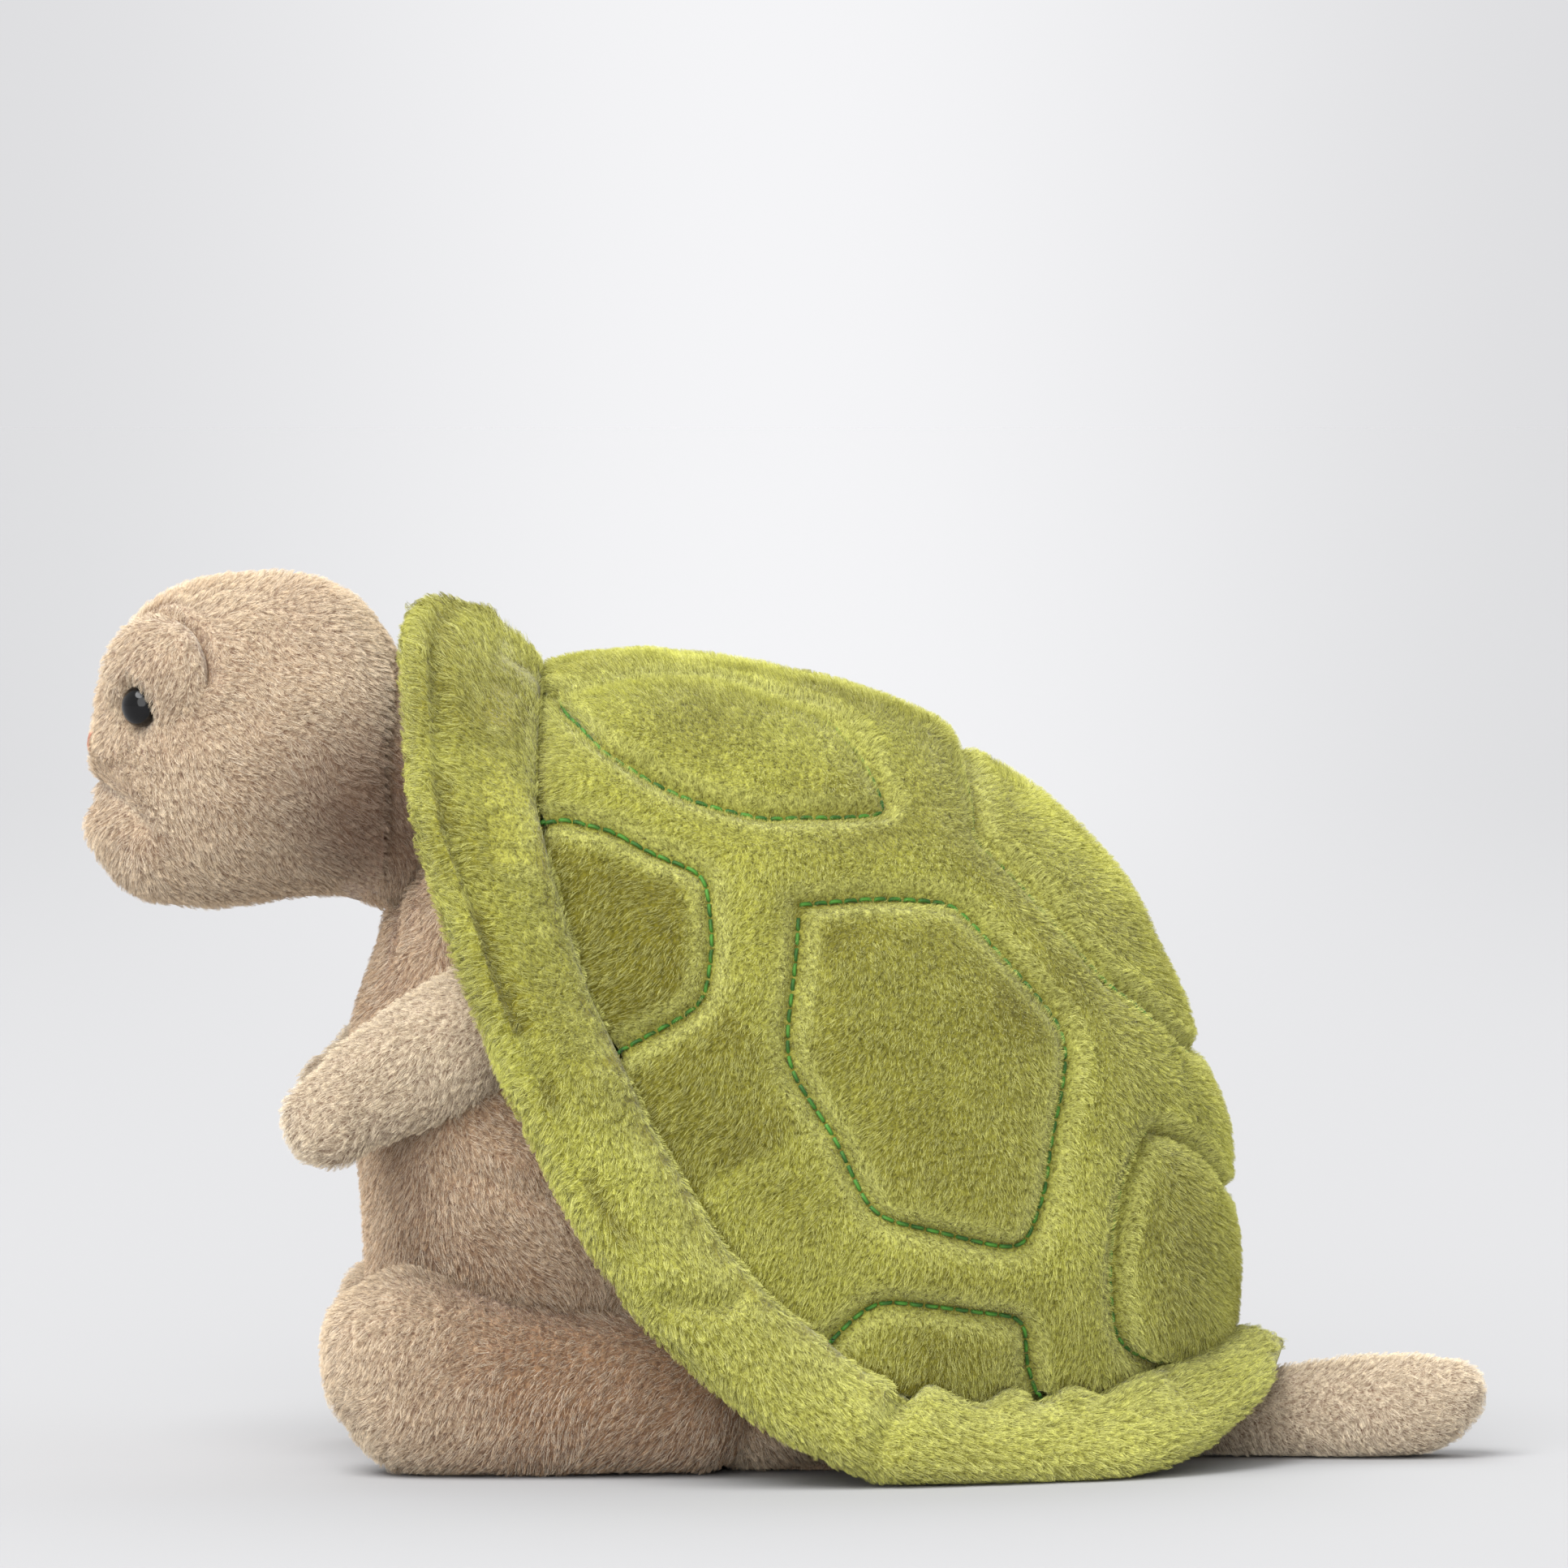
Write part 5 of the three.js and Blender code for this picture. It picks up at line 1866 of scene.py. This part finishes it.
@dataclass
class Eyelid:
    """Puffed hood sewn over an eye, with its seam above and behind and an opening below."""

    side: Side
    cloth: PlushCloth
    back: float = 0.6
    rise: float = 4.6
    half_length: float = 16.5
    up: float = 16.5
    down: float = 12.0
    puff: float = 5.8
    sunk: float = 1.8
    # How far the opening's middle lies behind and below the eye's, half of its height and
    # width, how far it leans back in radians, and how wide and how deep its turned-in edge is
    opening_back: float = 0.5
    opening_low: float = 0.1
    opening: Sequence[float] = (4.9, 3.2)
    opening_turn: float = 0.5
    hem_width: float = 2.4
    hem_depth: float = 1.2
    # How flat the hood is below the eye, and how far it is drawn in there
    flatness: float = 0.85
    drawn_in: float = 1.4
    rings: int = 33
    around: int = 96
    pile: Pile = Pile(2.8, lean=0.75)

    def frame_of(self, eye: Eye) -> tuple[Vector, Vector, Vector, Vector]:
        """Middle of the hood on the head, and the ways back, up and out.

        Args:
            eye: The eye that it hoods.

        Returns:
            The point and three directions.
        """
        middle, out = eye.axis()
        rear = Vector((0, 0, 1)).cross(out).normalized()
        rear *= 1 if rear.y > 0 else -1
        up = out.cross(rear).normalized()
        up *= 1 if up.z > 0 else -1
        return middle + rear * self.back + up * self.rise, rear, up, out

    def build(self, eye: Eye, head: BVHTree) -> Object:
        """Builds the hood on the head's skin and opens it for the eye.

        Args:
            eye: The eye below it.
            head: Search tree over the head's skin.

        Returns:
            The hood's skin.
        """
        centre, rear, up, out = self.frame_of(eye)
        middle, way = eye.axis()
        opening = middle + rear * self.opening_back - up * self.opening_low
        half_tall, half_wide = self.opening
        tall = up * math.cos(self.opening_turn) - rear * math.sin(self.opening_turn)
        wide = tall.cross(way).normalized()
        radii = np.linspace(0, 1, self.rings + 1)[1:]
        turns = np.arange(self.around) * 2 * math.pi / self.around
        top = np.zeros((len(radii), len(turns), 3))
        under = np.zeros_like(top)
        for i, radius in enumerate(radii):
            for j, turn in enumerate(turns):
                high = self.up if math.sin(turn) > 0 else self.down
                foot = centre + rear * (self.half_length * radius * math.cos(turn))
                foot += up * (high * radius * math.sin(turn))
                spot, normal, _, _ = head.ray_cast(foot + out * OFF_SKIN, -out)
                if spot is None:
                    spot, normal, _, _ = head.find_nearest(foot)
                low = min(1.0, max(0.0, 0.35 - math.sin(turn)) * 1.1)
                height = self.puff * (1 - radius**5) ** 0.5 * (1 - self.flatness * low * radius)
                height -= self.drawn_in * low * radius
                away = spot - opening
                apart = math.hypot(away.dot(tall) / half_tall, away.dot(wide) / half_wide)
                edge = min(max((apart - 1) * half_wide / self.hem_width, 0.0), 1.0)
                height = height * edge**0.5 - self.hem_depth * (1 - edge)
                top[i, j] = spot + normal * height
                under[i, j] = spot - normal * self.sunk
        self.edge = top[-1][np.sin(turns) > 0.1]
        rings = np.concatenate([top, under[::-1]])
        return lofted(f"{self.side.word}_eyelid_plush", rings)

    def dress(self, skin: Object, eye: Eye) -> None:
        """Gives the hood its plush, short beside the eye.

        Args:
            skin: The hood's skin.
            eye: The eye below it.
        """
        middle, way = eye.axis()
        _, rear, up, out = self.frame_of(eye)
        offset = points_of(skin) - np.asarray(middle)
        height = offset @ np.asarray(way)
        radial = np.linalg.norm(offset - height[:, None] * np.asarray(way), axis=1)
        facing = normals_of(skin) @ np.asarray(out) > 0.0
        border = distance_to(points_of(skin), self.edge)
        reach = np.clip((radial - 3.2) / 4.0, 0.2, 1.0) * np.clip(0.4 + border / 6.0, 0, 1)
        lay = np.stack([0.35 * bell(radial, 4.0, 12.0), np.maximum(bell(border, 3.0), 0.5)], 1)
        node = f"{self.side.word}_eyelid"
        piece = PlushPiece(skin, self.cloth, Slot.BEIGE, "head", (node,), 0.6)
        cover = np.where(facing & (radial > 3.4), 1.0, 0.0)
        piece.dress(self.pile, 71, tuple(-rear * 0.2 - up), lay, cover, reach)
        piece.ride()


@dataclass
class Head:
    """Stuffed head with its mouth crease, nostril stitches, eyes and hoods."""

    cloth: PlushCloth
    thread: SewingThread
    voxel: float = 1.3
    soften: int = 24
    pile_inset: float = 1.3
    lump: float = 0.7
    # How far the hoods' seams draw the skin in, and half of the width
    seam_depth: float = 2.0
    seam_half_width: float = 1.8
    mouth_depth: float = 1.8
    mouth_half_width: float = 1.9
    mouth_z: float = 168.0
    # Side view of the mouth's corner: along the length and up the height
    mouth: Rows = ((-169.3, 166.6), (-165.5, 164.4), (-161.3, 161.8), (-156.3, 156.6))
    # Side view of the stuffing's swells and hollows: along the length, up the height, their
    # radius and how far they push the skin out
    swells: Rows = (
        (-153.0, 208.0, 13.0, 2.8), (-101.0, 205.0, 11.0, -1.2), (-172.0, 184.0, 13.0, -2.2),
        (-172.0, 160.0, 6.0, 4.0), (-168.0, 147.0, 9.0, -2.8), (-112.0, 139.0, 20.0, -1.4),
        (-150.0, 138.0, 12.0, 0.9),
    )
    # How the head's pile falls, and how far from the mouth it is parted
    fall: Point = (0.0, 0.75, -0.55)
    parting: float = 6.0
    nostril_x: float = 5.6
    nostril_z: float = 177.0
    nostril_height: float = 6.0

    def mouth_line(self, surface: BVHTree) -> np.ndarray:
        """Line of the mouth on the head's skin, from its left corner to its right.

        Args:
            surface: Search tree over the skin.

        Returns:
            Points in millimetres.
        """
        left = []
        for y, z in self.mouth:
            spot, _, _, _ = surface.ray_cast(Vector((FAR_OUT, y, z)), Vector((-1, 0, 0)))
            if spot is not None:
                left.append(spot)
        ahead = Vector((0, -FAR_AHEAD, self.mouth_z))
        front, _, _, _ = surface.ray_cast(ahead, Vector((0, 1, 0)))
        right = [Vector((-spot.x, spot.y, spot.z)) for spot in left]
        route = np.asarray(left[::-1] + [front] + right, float)
        return resampled(route, LINE_STEP)

    def build(self) -> Object:
        """Builds the head's skin with its mouth crease.

        Returns:
            The skin.
        """
        skin = node_copy("head", "head_plush")
        remeshed(skin, self.voxel, self.soften)
        stuffed(skin, self.pile_inset, self.lump, 51.0)
        swollen(skin, self.swells)
        line = self.mouth_line(surface_of(skin))
        points = points_of(skin)
        self.outward = points - line[nearest_of(points, line)]
        self.away = np.linalg.norm(self.outward, axis=1)
        pushed(skin, -self.mouth_depth * bell(self.away, self.mouth_half_width))
        return skin

    def dress(self, skin: Object, eyes: Sequence[Eye], lids: Sequence[Eyelid]) -> None:
        """Gives the head its plush and its nostril stitches.

        Args:
            skin: The head's skin.
            eyes: Both eyes, which the pile keeps clear of.
            lids: Both hoods, whose seams draw the skin in.
        """
        edges = [lid.edge for lid in lids]
        border = pressed(skin, edges, self.seam_depth, self.seam_half_width)
        points = points_of(skin)
        reach = np.clip(0.3 + self.away / 5.0, 0.3, 1.0)
        reach *= np.clip(0.15 + border / 5.0, 0, 1)
        for eye in eyes:
            middle, _ = eye.axis()
            away = np.linalg.norm(points - np.asarray(middle), axis=1)
            reach = np.minimum(reach, np.clip((away - 5.0) / 5.0, 0.1, 1.0))
        # Painted shade below the mouth and painted shadow along the hoods' seams; a pale line along
        # the mouth's seam, and painted light that makes the whole head paler
        below = (self.outward[:, 2] < 0) * bell(self.away, 3.0, 5.5)
        behind = bell(border, 2.2)
        pale = np.maximum(bell(self.away, 1.3) * (1 - behind), 0.4)
        lay = np.stack([0.8 * below + behind, pale], 1)
        flow = parted(self.fall, self.outward, self.away, self.parting)
        cover = np.clip((self.away - 0.5) / 0.8, 0.0, 1.0)
        piece = PlushPiece(skin, self.cloth, Slot.BEIGE, "head", ("head",), 0.8)
        piece.dress(Pile(), 51, flow, lay, cover, reach)
        piece.ride()
        self.nostrils(skin)

    def nostrils(self, skin: Object) -> None:
        """Sews a short upright mark on each side of the snout's tip.

        Args:
            skin: The head's skin.
        """
        surface = surface_of(skin)
        heights = np.linspace(-0.5, 0.5, 9) * self.nostril_height + self.nostril_z
        routes = []
        for side in Side:
            for shift in (-0.5, 0.5):
                x = side.value * self.nostril_x + shift
                ahead = [Vector((x, -FAR_AHEAD, z)) for z in heights]
                spots = [surface.ray_cast(start, Vector((0, 1, 0)))[0] for start in ahead]
                routes.append(np.asarray(spots, float))

        def outward(point: Vector) -> Vector:
            """Way out of the snout at a point."""
            return surface.find_nearest(point)[1]

        row = StitchRow(stitch_mm=self.nostril_height * 0.9, thread_mm=0.8, lift_mm=1.7)
        marks = mesh_object("nostril_stitches", *row.shape(routes, outward))
        finished(marks, self.thread.make(), Slot.BEIGE, "head")


@dataclass
class Insides:
    """Pieces that the skins hide: the bean pouch and the eye washers."""

    pouch: WovenCloth
    washer: MouldedPlastic
    # Size of the pellets, how far they show through the cloth, and how far it lies inside
    pellet: float = 3.0
    pellet_height: float = 0.25
    inset: float = 0.3

    def build(self) -> None:
        """Builds the pouch and finishes the washers."""
        bag = node_copy("bean_pouch", "bean_pouch_cloth")
        remeshed(bag, 1.0, 6)
        points = points_of(bag)
        pellets = self.pellet_height * lumps(points, self.pellet, 5.0)
        set_points(bag, points + normals_of(bag) * (pellets - self.inset)[:, None])
        finished(bag, self.pouch.make(), Slot.POUCH, ROOT)
        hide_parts("bean_pouch")
        finish = self.washer.make()
        for side in Side:
            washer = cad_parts[f"{side.word}_eye_washer"]
            for material_slot in washer.material_slots:
                material_slot.material = finish


@dataclass
class Studio:
    """Pale floor and backdrop, soft lamps and the camera."""

    camera_from: Point = (3000.0, 0.0, 270.0)
    camera_at: Point = (0.0, 0.0, 166.0)
    lens: float = 279.7
    sensor: float = 36.0
    sight_m: float = 50.0
    # Colours as they are to look, with the light and shade painted in: near the toy, and in the
    # middle and at the sides of the far backdrop behind it
    near_colour: str = "E9E9EB"
    middle_colour: str = "F5F5F7"
    side_colour: str = "DEDEE0"
    # How wide the bright middle is, as a share of the distance
    spread: float = 0.072
    # How much brighter than its colour the lamps make the floor
    floor_light: float = 2.02
    floor_size: float = 60000.0
    # Strength of each lamp, how wide its light comes in degrees, and where it points
    key: Sequence = (3.2, 40.0, (-0.45, 0.45, -1.0))
    fill: Sequence = (1.75, 50.0, (-1.0, 0.25, -0.4))
    back: Sequence = (1.09, 40.0, (0.75, 0.1, -1.0))
    room_light: float = 0.676

    def build(self) -> None:
        """Sets the whole scene up round the turtle."""
        scene = bpy.context.scene
        scene.view_settings.view_transform = "Standard"
        self.camera(scene)
        self.floor()
        self.lamps()
        self.sky(scene)

    def camera(self, scene: bpy.types.Scene) -> None:
        """Sets the camera at the photograph's viewing angle.

        Args:
            scene: The scene.
        """
        data = bpy.data.cameras.new("camera")
        data.lens = self.lens
        data.sensor_width = self.sensor
        data.sensor_fit = "HORIZONTAL"
        data.clip_end = self.sight_m
        camera = bpy.data.objects.new("camera", data)
        start = Vector(self.camera_from) * MM
        camera.location = start
        way = Vector(self.camera_at) * MM - start
        camera.rotation_euler = way.to_track_quat("-Z", "Y").to_euler()
        scene.collection.objects.link(camera)
        scene.camera = camera

    def floor(self) -> None:
        """Lays a wide matt paper floor that runs out of sight."""
        size = self.floor_size
        corners = [(-size, -size, 0), (size, -size, 0), (size, size, 0), (-size, size, 0)]
        floor = mesh_object("paper_floor", np.asarray(corners), [(0, 1, 2, 3)])
        material, tree = new_material("matt_paper_floor")
        x, y, _ = add_node(tree, "SeparateXYZ", {0: place_on(tree)}).outputs
        depth = computed(tree, "SUBTRACT", self.camera_from[0] * MM, x)
        colour = self.backdrop(tree, y, depth, mapped(tree, x, -0.3, -5.0, smooth=True))
        share = {0: colour, "Scale": 1 / self.floor_light}
        lit = add_node(tree, "VectorMath", share, operation="SCALE").outputs["Vector"]
        look = {"Base Color": lit, "Roughness": 1.0, "Specular IOR Level": 0.0}
        surfaced(tree, look | {"Normal": relief(tree, speckle(tree, 0.8), 0.1, 0.05)})
        floor.data.materials.append(material)

    def backdrop(self, tree: Tree, aside: Socket, depth: Socket, far: Socket) -> Socket:
        """Adds the paper's colour with painted light, brightest behind the toy, and painted shade
        at both sides.

        Args:
            tree: Tree of the material or world.
            aside: How far to one side a place lies.
            depth: How far away it lies.
            far: Share of the far colours.

        Returns:
            The colour's output.
        """
        slant = computed(tree, "ABSOLUTE", computed(tree, "DIVIDE", aside, depth))
        edge = mapped(tree, slant, 0.0, self.spread, smooth=True)
        behind = blended(tree, edge, self.middle_colour, self.side_colour)
        return blended(tree, far, self.near_colour, behind)

    def lamps(self) -> None:
        """Hangs the soft lamps far away, so that the floor is lit evenly."""
        lamps = {"key_lamp": self.key, "fill_lamp": self.fill, "back_lamp": self.back}
        for name, (power, softness, aim) in lamps.items():
            data = bpy.data.lights.new(name, "SUN")
            data.energy = power
            data.angle = math.radians(softness)
            lamp = bpy.data.objects.new(name, data)
            lamp.rotation_euler = Vector(aim).to_track_quat("-Z", "Y").to_euler()
            bpy.context.scene.collection.objects.link(lamp)

    def sky(self, scene: bpy.types.Scene) -> None:
        """Surrounds the scene with soft white light and a pale backdrop.

        Args:
            scene: The scene.
        """
        world = bpy.data.worlds.new("soft_white_room")
        world.use_nodes = True
        scene.world = world
        tree = world.node_tree
        tree.nodes.clear()
        white = {"Color": (1.0, 1.0, 1.0, 1.0), "Strength": self.room_light}
        light = add_node(tree, "Background", white).outputs[0]
        way = add_node(tree, "TexCoord").outputs["Generated"]
        x, y, _ = add_node(tree, "SeparateXYZ", {0: way}).outputs
        colour = self.backdrop(tree, y, x, mapped(tree, x, 0.0, -0.9, smooth=True))
        shown = add_node(tree, "Background", {"Color": colour}).outputs[0]
        seen = add_node(tree, "LightPath").outputs["Is Camera Ray"]
        both = add_node(tree, "MixShader", {0: seen, 1: light, 2: shown}).outputs[0]
        add_node(tree, "OutputWorld", {"Surface": both})


def sew_limb(limb: SoftNode, start: Point, end: Point) -> None:
    """Builds and dresses a limb and bakes its place into its mesh.

    Args:
        limb: The limb.
        start: Not used.
        end: Not used.
    """
    skin = limb.build()
    limb.dress(skin)
    start_m, end_m = (tuple(c * MM for c in point) for point in (start, end))
    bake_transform(skin)
    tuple(start_m)
    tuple(end_m)


def sew_ridden(piece: SoftNode) -> None:
    """Builds a soft piece that moves with its body as a whole.

    Args:
        piece: The piece.
    """
    skin = piece.build()
    piece.dress(skin)
    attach(skin, piece.body)


def build_shell(toy: ToySizes, green: PlushCloth) -> None:
    """Builds the dome with its stitches, the rim and the lining.

    Args:
        toy: Overall sizes.
        green: Plush of dome and rim.
    """
    dome = ShellDome(toy, green, SewingThread("green_thread", "4A8A2C", "2A5C1C"))
    dome_skin = dome.build()
    rim = ShellRim(toy, green)
    rim_skin = rim.build(dome)
    dome.dress(dome_skin, surface_of(rim_skin))
    dome.sew()
    rim.dress(rim_skin)
    lining = ShellLining(toy, WovenCloth("green_lining", "9AA848", "76842F"))
    lining.dress(lining.build())


def build_head(beige: PlushCloth, head_beige: PlushCloth) -> None:
    """Builds the head with its eyes and hoods.

    Args:
        beige: Plush of the hoods.
        head_beige: Plush of the head, with painted shade round its folds at the neck.
    """
    black = MouldedPlastic("black_eye", "0B0B0C", "08080A", roughness=0.1, gloss=1.38)
    head = Head(head_beige, SewingThread("pink_thread", "C88E76", "9C6654"))
    skin = head.build()
    surface = surface_of(skin)
    eyes = [Eye(side, black) for side in Side]
    lids = [Eyelid(side, beige) for side in Side]
    for eye, lid in zip(eyes, lids):
        eye.dress(eye.build())
        lid.dress(lid.build(eye, surface), eye)
    head.dress(skin, eyes, lids)


def build_limbs(side: Side, beige: PlushCloth) -> None:
    """Builds the arm and the leg of one side.

    Args:
        side: The side.
        beige: Their plush.
    """
    arm = SoftNode(
        f"{side.word}_arm",
        beige,
        f"{side.word}_arm",
        # Painted light that makes the arm paler
        combed_and_lit=1.0,
        swells=((-110.0, 77.0, 10.0, 4.8), (-116.0, 99.0, 8.0, -1.5)),
        flow=(0.0, -0.85, -0.5),
        seed=61,
    )
    sew_limb(arm, (side.value * 54.0, -67.0, 113.0), (side.value * 55.8, -87.0, 102.4))
    leg = SoftNode(
        f"{side.word}_leg",
        beige,
        f"{side.word}_leg",
        more=(f"{side.word}_sole",),
        # Painted shade on the leg's rear and painted light on the foot
        shaded=1.0,
        combed_and_lit=0.5,
        swells=((-104.0, 6.0, 9.0, 1.2), (-74.0, 1.0, 34.0, 2.2), (-108.0, 51.0, 9.0, -2.4)),
        flow=(0.0, -0.6, -0.7),
        seed=63,
    )
    sew_limb(leg, (side.value * 47.0, -12.0, 20.8), (side.value * 47.0, -36.0, 20.8))


def build_turtle() -> None:
    """Builds each sub-assembly in order."""
    beige = PlushCloth("beige_plush", "F6E0BE", "FFF3DC", "E4C5A0", "745440", "BA9670", "FCEDD0")
    green = PlushCloth("green_plush", "EAEA74", "F4F49E", "DADA62", "5C5810", "9A932C", "F2F28E")
    # The head and neck get painted shade round the folds at the neck
    head_beige = replace(
        beige, name="head_beige_plush", fold_shade="664838", fold_shade_at=(34.0, -95.0, 157.0), fold_shade_mm=42.0
    )
    build_shell(ToySizes(), green)
    torso = Torso(beige)
    torso.dress(torso.build())
    sew_ridden(
        SoftNode(
            "seat_panel", beige, ROOT, voxel=1.0, soften=4, pile_inset=0.2, lump=0.1, seed=91
        )
    )
    collar_swell = (-97.0, 141.0, 8.0, 2.4)
    sew_ridden(
        SoftNode("neck", head_beige, "neck", pile_inset=-2.6, swells=(collar_swell,), seed=41)
    )
    build_head(beige, head_beige)
    for side in Side:
        build_limbs(side, beige)
    tail = SoftNode(
        "tail",
        beige,
        "tail",
        # Painted light that makes the tail paler
        combed_and_lit=1.0,
        swells=(
            (150.0, 26.0, 18.0, 0.3), (168.0, 20.0, 8.0, 2.6), (171.0, 4.0, 7.0, -2.6),
            (138.0, 0.0, 24.0, 1.6),
        ),
        flow=(0.0, 0.9, -0.35),
        seed=67,
    )
    sew_limb(tail, (0.0, 104.0, 10.5), (0.0, 122.0, 10.5))
    pouch = WovenCloth("pouch_cloth", "E6E0D2", "CFC8B8", 0.6)
    Insides(pouch, MouldedPlastic("white_washer", "DEDBD2", "D2CEC4", roughness=0.45)).build()


def main() -> None:
    """Builds the studio and the turtle."""
    logging.basicConfig(level=logging.INFO, format="%(message)s")
    Studio().build()
    build_turtle()
    bpy.context.view_layer.update()


if __name__ == "__main__":
    main()
